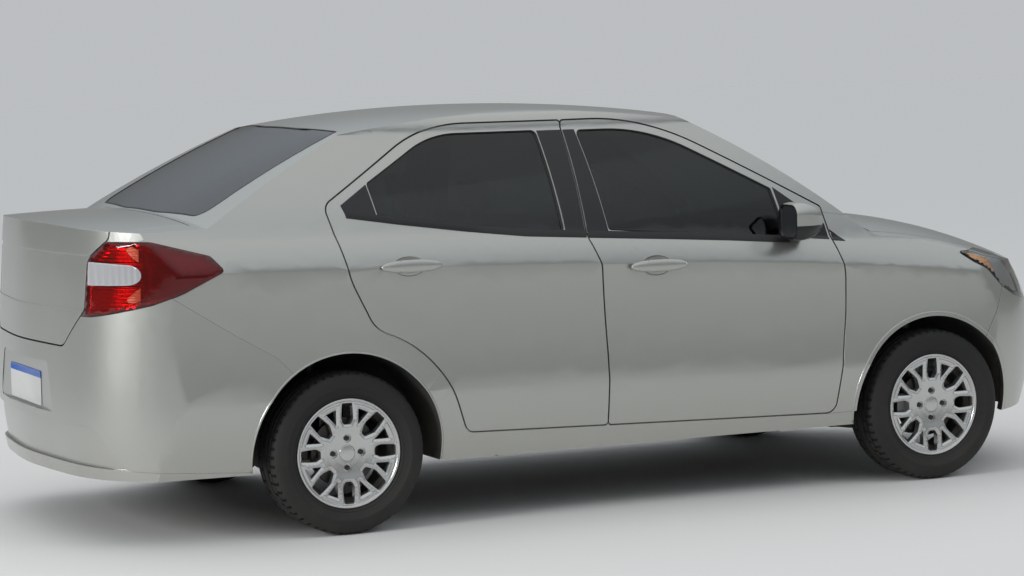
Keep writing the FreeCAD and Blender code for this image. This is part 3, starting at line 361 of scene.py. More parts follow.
def patch(corners, steps, tree, proud):
    """A sheet between four corners, given as x and z, laid on the right-hand skin."""
    mesh = unit_sheet(steps)
    low_rear, low_front, top_front, top_rear = (Vector(corner) for corner in corners)
    for vert in mesh.verts:
        u, v = vert.co.x + 0.5, vert.co.y + 0.5
        place = low_rear.lerp(low_front, u).lerp(top_rear.lerp(top_front, u), v)
        vert.co = on_skin(tree, place.x, place.y, proud)
    return mesh


COVER_LIFT = 0.0016
door_skin = {end: skin_tree("door_%s_right" % end) for end in ("front", "rear")}
COVERS = {
    # low rear, low front, top front and top rear corner
    "front_pillar_cover": ("front", ((-0.1455, 1.052), (-0.056, 1.052), (-0.0985, 1.431), (-0.1465, 1.431))),
    "rear_pillar_cover": ("rear", ((-0.2345, 1.052), (-0.1545, 1.052), (-0.1555, 1.431), (-0.2545, 1.431))),
    "corner_cover": ("rear", ((-1.098, 1.150), (-0.979, 1.137), (-0.998, 1.262), (-1.113, 1.192))),
    "sail_patch": ("front", ((0.724, 0.990), (0.904, 0.974), (0.892, 1.034), (0.686, 1.184))),
}
for name, (end, corners) in COVERS.items():
    cover = patch(corners, (10, 24), door_skin[end], COVER_LIFT)
    add_pair(name, cover, [gloss_black], "door_%s_%%s" % end, "black_plastic", thick=0.0025, edge=0.0008)
WEDGE = ((0.9135, 0.970), (0.974, 0.964), (0.972, 0.967), (0.9115, 1.012))
wedge = patch(WEDGE, (10, 10), skin_tree("fender_right", "body_shell"), COVER_LIFT)
add_pair("wedge_patch", wedge, [gloss_black], "body", "black_plastic", thick=0.0025, edge=0.0008)


def between(stations, place):
    """The value at a place along stations of place and value."""
    for (near, low), (far, high) in zip(stations, stations[1:]):
        if place <= far:
            return low + (high - low) * (place - near) / (far - near)
    return stations[-1][1]


def belt_strip(stations, tree, height, proud):
    """A ribbon along stations of x and z, standing on the door skin under the glass."""
    mesh = unit_sheet((40, 3))
    probe = 0.006
    first, last = stations[0][0], stations[-1][0]
    for vert in mesh.verts:
        x = first + (last - first) * (vert.co.x + 0.5)
        low = between(stations, x)
        foot = on_skin(tree, x, low, 0)
        lean = on_skin(tree, x, low + probe, 0) - foot
        across = vert.co.y + 0.5
        swell = proud * (0.5 + 2.0 * across * (1 - across))
        vert.co = foot + lean * (height * across / probe) + Vector((0, -swell, 0))
    return mesh


REAR_BELT = ((-1.100, 1.147), (-0.900, 1.115), (-0.629, 1.077), (-0.400, 1.050), (-0.1545, 1.034))
FRONT_BELT = ((-0.1475, 1.033), (0.200, 1.011), (0.450, 0.994), (0.716, 0.972))
for end, stations in (("rear", REAR_BELT), ("front", FRONT_BELT)):
    strip = belt_strip(stations, door_skin[end], 0.026, 0.005)
    add_pair("belt_strip_" + end, strip, [rubber], "door_%s_%%s" % end, "black_plastic", thick=0.004,
             edge=0.0008)

# Door mirrors: a painted cap over a black body on a black foot, with a silvered glass set
# back in the face that looks rearwards.
mirror_glass = new_finish("mirror_glass", (0.75, 0.77, 0.78), 1.0, 0.03, 200, 0, 0.05)
CAP_BOTTOM = 1.044
GLASS_FACE = 0.67


def sliced(mesh, place, across):
    """Cut a mesh's faces along a plane."""
    bmesh.ops.bisect_plane(mesh, geom=mesh.verts[:] + mesh.edges[:] + mesh.faces[:], plane_co=place,
                           plane_no=across)


for side in ("right", "left"):
    node = "door_mirror_" + side
    head = cad_copy(node)
    sliced(head, (0, 0, CAP_BOTTOM), (0, 0, 1))
    for face in head.faces:
        painted = face.calc_center_median().z > CAP_BOTTOM and face.normal.x > -0.9
        face.material_index = 0 if painted else 1
    rear_faces = [f for f in head.faces if f.normal.x < -0.95 and f.calc_center_median().x < GLASS_FACE]
    bmesh.ops.inset_region(head, faces=rear_faces, thickness=0.006, use_even_offset=True)
    bmesh.ops.inset_region(head, faces=rear_faces, thickness=0.0015, depth=-0.006, use_even_offset=True)
    for face in rear_faces:
        face.material_index = 2
    mirror = add_piece(node + "_head", head, [silver_paint, gloss_black, mirror_glass], "door_front_" + side,
                       "silver_paint", edge=0.0012)
    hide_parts(node)

# Tyres: black rubber with four rain grooves, blocks cut into the shoulders, and rings
# moulded on the side wall. One tyre is turned on its axle and copied to each wheel.
tyre_rubber = new_finish("tyre_rubber", (0.010, 0.0098, 0.0095), 0, 0.72, 1100, 0.0004, 0.35, 0.07, 0.60)
TYRE_PROFILE = [
    # radius and distance from the tyre's middle
    (0.1905, 0.070), (0.197, 0.0765), (0.205, 0.0815), (0.2065, 0.0845), (0.212, 0.0875), (0.2135, 0.086),
    (0.226, 0.0925), (0.240, 0.0962), (0.241, 0.0972), (0.250, 0.0975), (0.251, 0.0965), (0.262, 0.0958),
    (0.272, 0.0940), (0.281, 0.0905), (0.288, 0.0855), (0.2925, 0.0790), (0.2952, 0.070), (0.2963, 0.058),
    (0.2964, 0.056), (0.2895, 0.055), (0.2895, 0.049), (0.2970, 0.048), (0.2973, 0.038), (0.2974, 0.027),
    (0.2905, 0.026), (0.2905, 0.019), (0.2975, 0.018), (0.2975, 0),
]
TREAD_STEPS = 168
SHOULDER_RADIUS = 0.286


def shifted(mesh, way):
    bmesh.ops.translate(mesh, vec=way, verts=mesh.verts)
    return mesh


def turned(mesh, angle, axis):
    bmesh.ops.rotate(mesh, cent=(0, 0, 0), matrix=Matrix.Rotation(angle, 3, axis), verts=mesh.verts)
    return mesh


def rounded(mesh, parts, width, segments=3, affect="EDGES"):
    bmesh.ops.bevel(mesh, geom=parts, affect=affect, offset=width, segments=segments, profile=0.5,
                    material=-1, clamp_overlap=True)
    return mesh


def spun(profile, steps, closed=True):
    """A line turned about the axle, from corners given as radius and distance outwards."""
    mesh = bmesh.new()
    corners = [mesh.verts.new((0, -out, radius)) for radius, out in profile]
    ends = zip(corners, corners[1:] + corners[:1]) if closed else zip(corners, corners[1:])
    sides = [mesh.edges.new(pair) for pair in ends]
    bmesh.ops.spin(mesh, geom=corners + sides, cent=(0, 0, 0), axis=(0, 1, 0), angle=math.tau, steps=steps,
                   use_merge=True)
    bmesh.ops.remove_doubles(mesh, verts=mesh.verts, dist=WELD)
    bmesh.ops.recalc_face_normals(mesh, faces=mesh.faces)
    return mesh


def tread_step(face):
    """Which of the equal steps round the tyre a face lies in."""
    place = face.calc_center_median()
    return int((math.atan2(place.x, place.z) / math.tau % 1) * TREAD_STEPS)


def sink_faces(mesh, faces, depth):
    for face in bmesh.ops.extrude_discrete_faces(mesh, faces=faces)["faces"]:
        bmesh.ops.translate(mesh, vec=-face.normal * depth, verts=face.verts)


def out_of(face):
    return abs(face.calc_center_median().y)


tyre = spun([(radius, -out) for radius, out in TYRE_PROFILE]
            + [(radius, out) for radius, out in reversed(TYRE_PROFILE[:-1])], TREAD_STEPS, closed=False)
sink_faces(tyre, [f for f in tyre.faces if 0.0565 < out_of(f) < 0.089 and tread_step(f) % 3 == 0
                  and f.calc_center_median().xz.length > SHOULDER_RADIUS], 0.004)
sink_faces(tyre, [f for f in tyre.faces if 0.0285 < out_of(f) < 0.0475 and tread_step(f) % 4 == 1
                  and f.normal.dot(f.calc_center_median()) > 0.25], 0.003)
WHEEL_PLACES = {end + "_" + side: (AXLES[end], y) for end in ("front", "rear")
                for side, y in (("right", -0.735), ("left", 0.735))}
for wheel, (x, y) in WHEEL_PLACES.items():
    copy = shifted(tyre.copy(), (x, y, AXLE_HEIGHT))
    tread = add_piece("tyre_tread_" + wheel, copy, [tyre_rubber], "wheel_" + wheel, "tyre_rubber", sharp=40)
    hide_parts("tyre_" + wheel)
tyre.free()

# Wheels: a cast alloy rim with eight long windows, four of them reaching nearer the hub, and
# a small three-cornered window between each two. Four dark bolts and a plain cap in the middle.
alloy = new_finish("alloy", (0.62, 0.625, 0.615), 0.85, 0.26, 1500, 0, 0.12, 0.25, 0.6, {"Coat Weight": 0.4})
# The barrel's near-black colour is painted shade: it stands in for the shade deep inside the wheel, so the
# windows between the spokes read dark. Its dust is dust.
barrel_cast = new_finish("barrel_cast", (0.030, 0.030, 0.030), 0.5, 0.55, 700, 0.0003, 0.3, 0.25, 0.7)
brake_iron = new_finish("brake_iron", (0.085, 0.080, 0.075), 0.9, 0.42, 300, 0.0002, 0.4)
bolt_steel = new_finish("bolt_steel", (0.06, 0.06, 0.06), 0.9, 0.35, 900, 0, 0.3)
FACE_LINE = [
    # radius and distance outwards along the front of the face
    (0.0305, 0.0640), (0.048, 0.0655), (0.074, 0.0690), (0.100, 0.0745), (0.130, 0.0785), (0.160, 0.0800),
    (0.182, 0.0795),
]
RIM_LINE = [
    (0.186, 0.0775), (0.1895, 0.0790), (0.1915, 0.0825), (0.1945, 0.0845), (0.1985, 0.0845), (0.2005, 0.0830),
    (0.2005, 0.0790), (0.1895, 0.0700), (0.1860, 0.0550), (0.170, 0.0500), (0.100, 0.0400), (0.070, 0.0300),
    (0.0305, 0.030),
]
FACE_RINGS = 60
ring_radii = [0.0305 + (0.182 - 0.0305) * i / FACE_RINGS for i in range(FACE_RINGS + 1)]
FACE_PROFILE = [(radius, between(FACE_LINE, radius)) for radius in ring_radii] + RIM_LINE
BARREL_PROFILE = [
    (0.1885, 0.0700), (0.1885, 0.0500), (0.1740, 0.0350), (0.1740, -0.0300), (0.1885, -0.0500),
    (0.1885, -0.0760), (0.2005, -0.0790), (0.2005, -0.0830), (0.1960, -0.0830), (0.1830, -0.0780),
    (0.1800, -0.0520), (0.1670, -0.0320), (0.1670, 0.0360), (0.1800, 0.0520), (0.1800, 0.0700),
]
DISC_PROFILE = [(0.030, 0.008), (0.127, 0.008), (0.128, 0.010), (0.128, 0.028), (0.127, 0.0295),
                (0.076, 0.0295), (0.072, 0.037), (0.030, 0.037)]
OVER_BOLT = ((-0.0130, 0.1045), (-0.0235, 0.124), (-0.0225, 0.150), (-0.0195, 0.1845), (0.0195, 0.1845),
             (0.0225, 0.150), (0.0235, 0.124), (0.0130, 0.1045))
BETWEEN_BOLTS = ((-0.0105, 0.088), (-0.0265, 0.123), (-0.0250, 0.150), (-0.0215, 0.1845), (0.0215, 0.1845),
                 (0.0250, 0.150), (0.0265, 0.123), (0.0105, 0.088))
SMALL_WINDOW = ((0.0, 0.1115), (-0.0215, 0.166), (0.0215, 0.166))
EIGHTH = math.tau / 8
BOLT_CIRCLE = 0.054
bolt_places = [(BOLT_CIRCLE * math.sin(turn * math.tau / 4), BOLT_CIRCLE * math.cos(turn * math.tau / 4))
               for turn in range(4)]


def prism(corners, low_y, high_y, rounding):
    """A closed block from an outline in x and z, the outline's corners rounded."""
    mesh = bmesh.new()
    mesh.faces.new([mesh.verts.new((x, low_y, z)) for x, z in corners])
    rounded(mesh, mesh.verts[:], rounding, affect="VERTICES")
    sides = bmesh.ops.extrude_face_region(mesh, geom=mesh.faces[:])["geom"]
    far_side = [part for part in sides if isinstance(part, bmesh.types.BMVert)]
    bmesh.ops.translate(mesh, vec=(0, high_y - low_y, 0), verts=far_side)
    bmesh.ops.recalc_face_normals(mesh, faces=mesh.faces)
    return mesh


def disc(radius, low, high, steps, place=(0, 0), rounding=0.0):
    """A round plate on the axle's line, from low to high outwards, its edge rounded."""
    mesh = bmesh.new()
    bmesh.ops.create_cone(mesh, cap_ends=True, segments=steps, radius1=radius, radius2=radius,
                          depth=high - low)
    shifted(turned(mesh, math.radians(90), "X"), (place[0], -(low + high) / 2, place[1]))
    if rounding:
        rounded(mesh, [e for e in mesh.edges if any(len(f.verts) > 4 for f in e.link_faces)], rounding)
    return mesh


def merged(meshes):
    """Several meshes as one."""
    whole = bmesh.new()
    for mesh in meshes:
        whole.from_mesh(to_data(mesh, "part"))
    return whole


def evaluated(thing):
    return bpy.data.meshes.new_from_object(thing.evaluated_get(bpy.context.evaluated_depsgraph_get()))


openings = [disc(0.0160, 0.058, 0.158, 40, place) for place in bolt_places]
for i in range(8):
    for corners, turn, rounding in ((OVER_BOLT if i % 2 == 0 else BETWEEN_BOLTS, i, 0.006),
                                    (SMALL_WINDOW, i + 0.5, 0.0030)):
        openings.append(turned(prism(corners, -0.12, 0.02, rounding), turn * EIGHTH, "Y"))
cutter = place_object("wheel_cutter", to_data(merged(openings), "wheel_cutter"))
face_blank = place_object("face_blank", to_data(spun(FACE_PROFILE, 256), "face_blank"))
put(face_blank.modifiers.new("cut", "BOOLEAN"), operation="DIFFERENCE", solver="EXACT", object=cutter)
bpy.context.view_layer.update()
spoked = evaluated(face_blank)
for helper in (cutter, face_blank):
    bpy.data.objects.remove(helper)


def to_edge(x, z, corners):
    """The distance from a point to the outline of a window."""
    nearest = 1.0
    for (ax, az), (bx, bz) in zip(corners, corners[1:] + corners[:1]):
        dx, dz = bx - ax, bz - az
        share = max(0.0, min(1.0, ((x - ax) * dx + (z - az) * dz) / (dx * dx + dz * dz)))
        nearest = min(nearest, math.hypot(x - ax - dx * share, z - az - dz * share))
    return nearest


# The spokes are ridged: their front slopes down towards every window.
SLOPE_WIDTH = 0.0100
SLOPE_DEPTH = 0.0062
FADE_END = 0.1900
face_mesh = bmesh.new()
face_mesh.from_mesh(spoked)
bmesh.ops.remove_doubles(face_mesh, verts=face_mesh.verts, dist=0.00005)
for vert in face_mesh.verts:
    radius = math.hypot(vert.co.x, vert.co.z)
    if not 0.070 < radius < 0.1955 or -vert.co.y < between(FACE_LINE, radius) - 0.0008:
        continue
    turn = math.atan2(vert.co.x, vert.co.z)
    near = round(turn / EIGHTH)
    gap = 1.0
    for step in (near - 1, near - 0.5, near, near + 0.5, near + 1):
        away = turn - step * EIGHTH
        outline = SMALL_WINDOW if step % 1 else OVER_BOLT if step % 2 == 0 else BETWEEN_BOLTS
        gap = min(gap, to_edge(radius * math.sin(away), radius * math.cos(away), outline))
    fade = min(1.0, max(0.0, (FADE_END - radius) / 0.006))
    if gap < SLOPE_WIDTH:
        vert.co.y += SLOPE_DEPTH * (1 - gap / SLOPE_WIDTH) * fade
wheel_parts = {
    "wheel_face": (alloy, face_mesh),
    "wheel_barrel": (barrel_cast, spun(BARREL_PROFILE, 96)),
    "wheel_cap": (alloy, disc(0.0300, 0.040, 0.0660, 48, rounding=0.003)),
    "wheel_bolts": (bolt_steel, merged(
        disc(radius, 0.050, high, steps, place, 0.0014) for place in bolt_places
        for radius, high, steps in ((0.0155, 0.0575, 32), (0.0105, 0.0650, 6)))),
    "brake_disc": (brake_iron, spun(DISC_PROFILE, 96)),
}
for wheel, (x, y) in WHEEL_PLACES.items():
    for name, (finish, mesh) in wheel_parts.items():
        copy = shifted(turned(mesh.copy(), math.pi if y > 0 else 0, "Z"), (x, y, AXLE_HEIGHT))
        piece = add_piece("%s_%s" % (name, wheel), copy, [finish], "wheel_" + wheel, "alloy", sharp=32)
        if name == "wheel_face":
            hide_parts("wheel_" + wheel)

# Tail lamps: a red moulded lens with a clear window for the reversing lamp and ribbed amber
# fields, closed by a black housing that holds a bright ribbed reflector.
def add_ribs(tree, bands, depth, axis):
    """Add moulded ribs across an axis to a material's relief."""
    wave = new_node(tree, "TexWave", {"Vector": new_node(tree, "TexCoord").outputs["Object"], "Scale": bands},
                    bands_direction=axis)
    relief = new_node(tree, "Bump", {"Distance": depth, "Height": wave.outputs["Fac"]})
    feed(tree.nodes["Principled BSDF"], {"Normal": relief.outputs["Normal"]})


red_lens = new_finish("red_lens", (0.62, 0.008, 0.010), 0, 0.04, 900, 0, 0.12,
                      others={"Transmission Weight": 0.95})
clear_lens = new_finish("clear_lens", (0.93, 0.94, 0.94), 0, 0.02, 900, 0, 0.03,
                        others={"Transmission Weight": 1.0})
bright_reflector = new_finish("bright_reflector", (0.85, 0.85, 0.84), 1.0, 0.16, 600, 0, 0.1)
amber_reflector = new_finish("amber_reflector", (0.95, 0.36, 0.05), 0.6, 0.2, 600, 0, 0.1)
white_window = new_finish("white_window", (0.56, 0.56, 0.58), 0.35, 0.10, 600, 0, 0.05)
amber_window = new_finish("amber_window", (0.42, 0.045, 0.010), 0.25, 0.14, 600, 0, 0.1)
for finish, bands, depth, axis in ((bright_reflector, 24, 0.0025, "Z"), (amber_reflector, 30, 0.002, "Z"),
                                   (white_window, 18, 0.0016, "X"), (amber_window, 34, 0.0016, "Z")):
    add_ribs(finish.node_tree, bands, depth, axis)
ruby_reflector = new_finish("ruby_reflector", (0.30, 0.015, 0.015), 0.8, 0.25, 600, 0.0004, 0.2)
lamp_black = new_finish("lamp_black", (0.02, 0.018, 0.018), 0, 0.35, 700, 0, 0.2)
FINE_EDGE = 0.03


def faces_rear_corner(normal):
    return normal.y < -0.015


def lamp_sheet(node, is_outer, sink=(0, 0, 0)):
    """The right lamp's outer face, refined and sunk straight into the body."""
    mesh = outer_sheet(node, is_outer, half=-1)
    for _ in range(4):
        long_edges = [e for e in mesh.edges if e.calc_length() > FINE_EDGE]
        if long_edges:
            bmesh.ops.subdivide_edges(mesh, edges=long_edges, cuts=1)
            bmesh.ops.triangulate(mesh, faces=mesh.faces)
    return shifted(mesh, sink)


def split_finish(mesh, place, across):
    """Give the second finish to the faces beyond a plane, with a clean border."""
    sliced(mesh, place, across)
    for face in mesh.faces:
        beyond = (face.calc_center_median() - Vector(place)).dot(Vector(across)) > 0
        face.material_index = 1 if beyond else 0


bare_lamp = outer_sheet("tail_lamps", faces_rear_corner, half=-1)
tail_skin = BVHTree.FromBMesh(bare_lamp)
bare_lamp.free()
tail_lens = add_pair("tail_lamp_lens", lamp_sheet("tail_lamps", faces_rear_corner), [red_lens], "body",
                     "red_lens", thick=0.003, sharp=80)
housing = outer_sheet("tail_lamps", lambda normal: normal.y > -0.014, half=-1)
add_pair("tail_lamp_housing", housing, [lamp_black], "body", "black_plastic")
reflector = lamp_sheet("tail_lamps", faces_rear_corner, (0.010, 0.013, 0))
split_finish(reflector, (-1.868, 0, 0), (1, 0, 0))
add_pair("tail_lamp_reflector", reflector, [bright_reflector, ruby_reflector], "body", "red_lens")
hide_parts("tail_lamps")


def tapered_field(centre, half_heights, steps, tree, proud):
    """A sheet along a line of points, with a half height at each of them, laid on a skin."""
    mesh = unit_sheet(steps)
    last = len(centre) - 1
    for vert in mesh.verts:
        along = (vert.co.x + 0.5) * last
        first = min(int(along), last - 1)
        share = along - first
        middle = Vector(centre[first]).lerp(Vector(centre[first + 1]), share)
        half = half_heights[first] + (half_heights[first + 1] - half_heights[first]) * share
        hit, normal = tree.find_nearest(middle + Vector((0, 0, vert.co.y * 2 * half)))[:2]
        vert.co = hit + normal * proud
    return mesh


WINDOW_LINE = [(-2.016, -0.566, 0.982), (-1.968, -0.648, 0.981), (-1.9215, -0.709, 0.98),
               (-1.905, -0.724, 0.98), (-1.893, -0.735, 0.9795), (-1.885, -0.742, 0.979),
               (-1.88, -0.746, 0.979)]
WINDOW_HALF = [0.0385, 0.0360, 0.0330, 0.0300, 0.0235, 0.0150, 0.0040]
window_rim = tapered_field(WINDOW_LINE, [half + 0.0035 for half in WINDOW_HALF], (40, 12), tail_skin, 0.0009)
add_pair("reversing_rim", window_rim, [white_window], "body", "clear_lens", thick=0.001)
window = tapered_field(WINDOW_LINE, WINDOW_HALF, (40, 12), tail_skin, 0.0022)
add_pair("reversing_window", window, [white_window], "body", "clear_lens", thick=0.0018, edge=0.0006)
AMBER_FIELDS = {
    # line along the middle and half heights
    "upper": ([(-1.922, -0.706, 1.07), (-1.905, -0.722, 1.062), (-1.885, -0.74, 1.048)],
              [0.004, 0.020, 0.022]),
    "lower": ([(-1.922, -0.712, 0.89), (-1.905, -0.727, 0.897), (-1.883, -0.746, 0.912)],
              [0.004, 0.018, 0.024]),
}
for name, (line, halves) in AMBER_FIELDS.items():
    field = tapered_field(line, halves, (14, 14), tail_skin, 0.0007)
    add_pair("amber_field_" + name, field, [amber_window], "body", "red_lens", thick=0.001)


def through_rows(rows, outwards=True):
    """A sheet through rows of points. Its faces are turned to look out to the car's right."""
    mesh = unit_sheet((len(rows[0]) - 1, len(rows) - 1))
    for vert, place in zip(mesh.verts, [place for row in rows for place in row]):
        vert.co = place
    bmesh.ops.recalc_face_normals(mesh, faces=mesh.faces)
    if outwards and sum(face.normal.y for face in mesh.faces) > 0:
        bmesh.ops.reverse_faces(mesh, faces=mesh.faces)
    return mesh


def ribbon(points, width, tree, proud):
    """A narrow strip along a line of points on a skin."""
    rows = []
    for number, point in enumerate(points):
        before, after = Vector(points[max(number - 1, 0)]), Vector(points[min(number + 1, len(points) - 1)])
        hit, normal = tree.find_nearest(Vector(point))[:2]
        across = normal.cross((after - before).normalized()).normalized() * width / 2
        rows.append([hit + normal * proud + across, hit + normal * proud - across])
    return through_rows(rows)


def curve_through(points, steps):
    """Points along a smooth curve through three points."""
    start, middle, end = (Vector(point) for point in points)
    control = middle * 2 - (start + end) / 2
    shares = [i / steps for i in range(steps + 1)]
    return [start.lerp(control, share).lerp(control.lerp(end, share), share) for share in shares]


frame_lines = [curve_through(((-1.871, -0.749, 1.060), (-1.854, -0.766, 0.982), (-1.863, -0.764, 0.893)), 16),
               [(-1.850, -0.764, 1.070), (-1.797, -0.800, 1.023), (-1.858, -0.761, 1.014)],
               [(-1.856, -0.762, 1.000), (-1.802, -0.799, 0.971), (-1.858, -0.764, 0.905)]]
for number, line in enumerate(frame_lines):
    strip = ribbon(line, 0.0022, tail_skin, -0.0045)
    add_pair("tail_frame_%d" % number, strip, [bright_reflector], "body", "red_lens", thick=0.0008)

# Headlamps: a clear moulded lens over a black box, with a satin silver reflector set back in
# it and an amber part for the turn lamp at its outer end.
satin_silver = new_finish("satin_silver", (0.55, 0.55, 0.55), 0.9, 0.33, 900, 0, 0.1)
AMBER_FROM = (0, -0.735, 0)
REFLECTOR_SIZE = 0.92


def faces_front_corner(normal):
    return normal.z > -0.30 and (normal.x > 0.10 or normal.y < -0.30 or normal.z > 0.45)


head_lens = add_pair("headlamp_lens", lamp_sheet("headlamps", faces_front_corner), [clear_lens], "body",
                     "clear_lens", thick=0.003, sharp=20)
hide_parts("headlamps")
head_box = outer_sheet("headlamps", lambda normal: not faces_front_corner(normal), half=-1)
add_pair("headlamp_housing", head_box, [lamp_black], "body", "black_plastic")
head_back = lamp_sheet("headlamps", faces_front_corner, (-0.014, 0.012, -0.006))
split_finish(head_back, AMBER_FROM, (0, -1, 0))
lamp_middle = sum((vert.co for vert in head_back.verts), Vector()) / len(head_back.verts)
for vert in head_back.verts:
    vert.co = lamp_middle.lerp(vert.co, REFLECTOR_SIZE)
add_pair("headlamp_reflector", head_back, [satin_silver, amber_reflector], "body", "clear_lens")

# Number plate and grille: a blank white pressed plate with a plain blue band, in the recess of
# the rear bumper, and the moulded black grille at the front.
plate_white = new_finish("plate_white", (0.60, 0.60, 0.59), 0, 0.32, 500, 0.0001, 0.06)
plate_blue = new_finish("plate_blue", (0.02, 0.10, 0.42), 0, 0.32, 500, 0.0001, 0.1)
PLATE_SIZE = (0.0016, 0.400, 0.128)
PLATE_HEIGHT = 0.540
BAND_BOTTOM = 0.578
bumper_skin = skin_tree("rear_bumper")
plate_back = min(bumper_skin.ray_cast(Vector((-2.4, y, z)), Vector((1, 0, 0)))[0].x
                 for y in (-0.19, 0, 0.19) for z in (0.49, 0.54, 0.59))
plate = bmesh.new()
bmesh.ops.create_cube(plate, size=1)
bmesh.ops.scale(plate, vec=PLATE_SIZE, verts=plate.verts)
sliced(shifted(plate, (plate_back - 0.0022, 0, PLATE_HEIGHT)), (0, 0, BAND_BOTTOM), (0, 0, 1))
for face in plate.faces:
    face.material_index = 1 if face.calc_center_median().z > BAND_BOTTOM else 0
corner_edges = [e for e in plate.edges if abs(e.verts[0].co.x - e.verts[1].co.x) > 0.001
                and abs(abs(e.verts[0].co.z - PLATE_HEIGHT) - PLATE_SIZE[2] / 2) < 0.001]
rounded(plate, corner_edges, 0.010, 5)
front_sheet = [f for f in plate.faces if f.normal.x < -0.9]
bmesh.ops.inset_region(plate, faces=front_sheet, thickness=0.003, use_even_offset=True)
bmesh.ops.inset_region(plate, faces=front_sheet, thickness=0.001, depth=-0.0005, use_even_offset=True)
add_piece("number_plate", plate, [plate_white, plate_blue], "body", "silver_paint")
dress("grille", gloss_black, "black_plastic")

# Wheel openings: the painted edge of the panel is rolled back round each arch as a lip, and
# a moulded black liner closes the housing towards the engine bay and the boot.
body_skin = {"front": skin_tree("fender_right", "front_bumper", "body_shell"),
             "rear": skin_tree("body_shell", "rear_bumper")}
LIP = ((0.3655, -0.0010), (0.3658, 0.0016), (0.3675, 0.0026), (0.3705, 0.0020), (0.3740, -0.0003))
LIP_FOOT = 0.372
LIP_STEPS = 96
LINER_RADIUS = 0.3705
LINER_STEPS = 64
LINER_ROWS = (-0.755, -0.70, -0.645)


def round_axle(end, radius, turn):
    """The place at a radius and angle round an axle, as x and z."""
    return AXLES[end] + radius * math.cos(turn), AXLE_HEIGHT + radius * math.sin(turn)


for end, first in (("front", -7), ("rear", -7.5)):
    rows = []
    for step in range(LIP_STEPS + 1):
        turn = math.radians(first + (187 - first) * step / LIP_STEPS)
        foot = on_skin(body_skin[end], *round_axle(end, LIP_FOOT, turn), 0)
        places = [(round_axle(end, radius, turn), proud) for radius, proud in LIP]
        rows.append([(x, foot.y - proud, z) for (x, z), proud in places])
    lip = through_rows(rows)
    add_pair("arch_lip_" + end, lip, [silver_paint], "body", "silver_paint", thick=0.001, sharp=60)
for end in ("front", "rear"):
    turns = [math.radians(-4 + 188 * step / LINER_STEPS) for step in range(LINER_STEPS + 1)]
    ring = [round_axle(end, LINER_RADIUS, turn) for turn in turns]
    liner = through_rows([[(x, y, z) for y in LINER_ROWS] for x, z in ring], outwards=False)
    add_pair("wheel_liner_" + end, liner, [liner_felt], "body", "black_plastic", thick=0.0015, sharp=60)

# Under the car: a rough black coat on the floor, satin black on the pressed and welded
# chassis parts, rough cast iron and aluminium, and dull steel on the exhaust.
UNDERSIDE = [
    # name and look of the finish, its slot and the nodes that have it
    ("floor_coating", ((0.045, 0.045, 0.045), 0.0, 0.85, 260, 0.0012, 0.45, 0.35, 0.5), "floor_coating",
     ["floor_pan"]),
    ("chassis_black", ((0.028, 0.028, 0.028), 0.2, 0.48, 800, 0.0003, 0.25, 0.45, 0.6), "chassis_black",
     ["front_subframe", "rear_axle", "drive_shafts"]),
    ("cast_metal", ((0.30, 0.30, 0.30), 0.85, 0.55, 320, 0.0006, 0.4, 0.30, 0.6), "cast_metal",
     ["steering_knuckle_right", "steering_knuckle_left", "engine_block"]),
    ("exhaust_steel", ((0.42, 0.38, 0.33), 0.95, 0.38, 500, 0.0002, 0.45, 0.25, 0.5), "exhaust_steel",
     ["exhaust"]),
    ("tank_plastic", ((0.030, 0.030, 0.032), 0.0, 0.55, 700, 0.0003, 0.25, 0.45, 0.5), "black_plastic",
     ["fuel_tank"]),
    ("radiator_fins", ((0.22, 0.22, 0.22), 0.7, 0.45, 700, 0.0003, 0.5, 0.2, 0.5), "black_plastic",
     ["radiator"]),
]
for name, look, slot, nodes in UNDERSIDE:
    finish = new_finish(name, *look)
    for node in nodes:
        dress(node, finish, slot, edge=0.0015)

# Seats: foam pads in a woven cloth, each blown up tight inside its cover, with sewn channels
# and side bolsters. Frames, rails and the posts of the head rests are steel and moulded plastic.
seat_fabric = new_finish("seat_fabric", (0.085, 0.088, 0.093), 0, 0.92, 1600, 0.0005, 0.30)
cloth_tree = seat_fabric.node_tree
weave_place = new_node(cloth_tree, "TexCoord").outputs["Object"]
threads = [new_node(cloth_tree, "TexWave", {"Vector": weave_place, "Scale": 95}, bands_direction=way)
           for way in ("X", "Y")]
weave = new_node(cloth_tree, "Math", {0: threads[0].outputs["Fac"], 1: threads[1].outputs["Fac"]})
weave_bump = new_node(cloth_tree, "Bump", {"Distance": 0.0009, "Height": weave.outputs[0]})
feed(cloth_tree.nodes["Principled BSDF"], {"Normal": weave_bump.outputs["Normal"], "Sheen Weight": 0.35})
seat_steel = new_finish("seat_steel", (0.20, 0.20, 0.20), 0.85, 0.4, 900, 0, 0.3)
PAD_VOXEL = 0.014
PAD_SHRINK = 0.016
PAD_REACH = 0.024
BOLSTER = 0.085
CHANNEL_WIDTH = 0.009
CHANNEL_DEPTH = 0.007
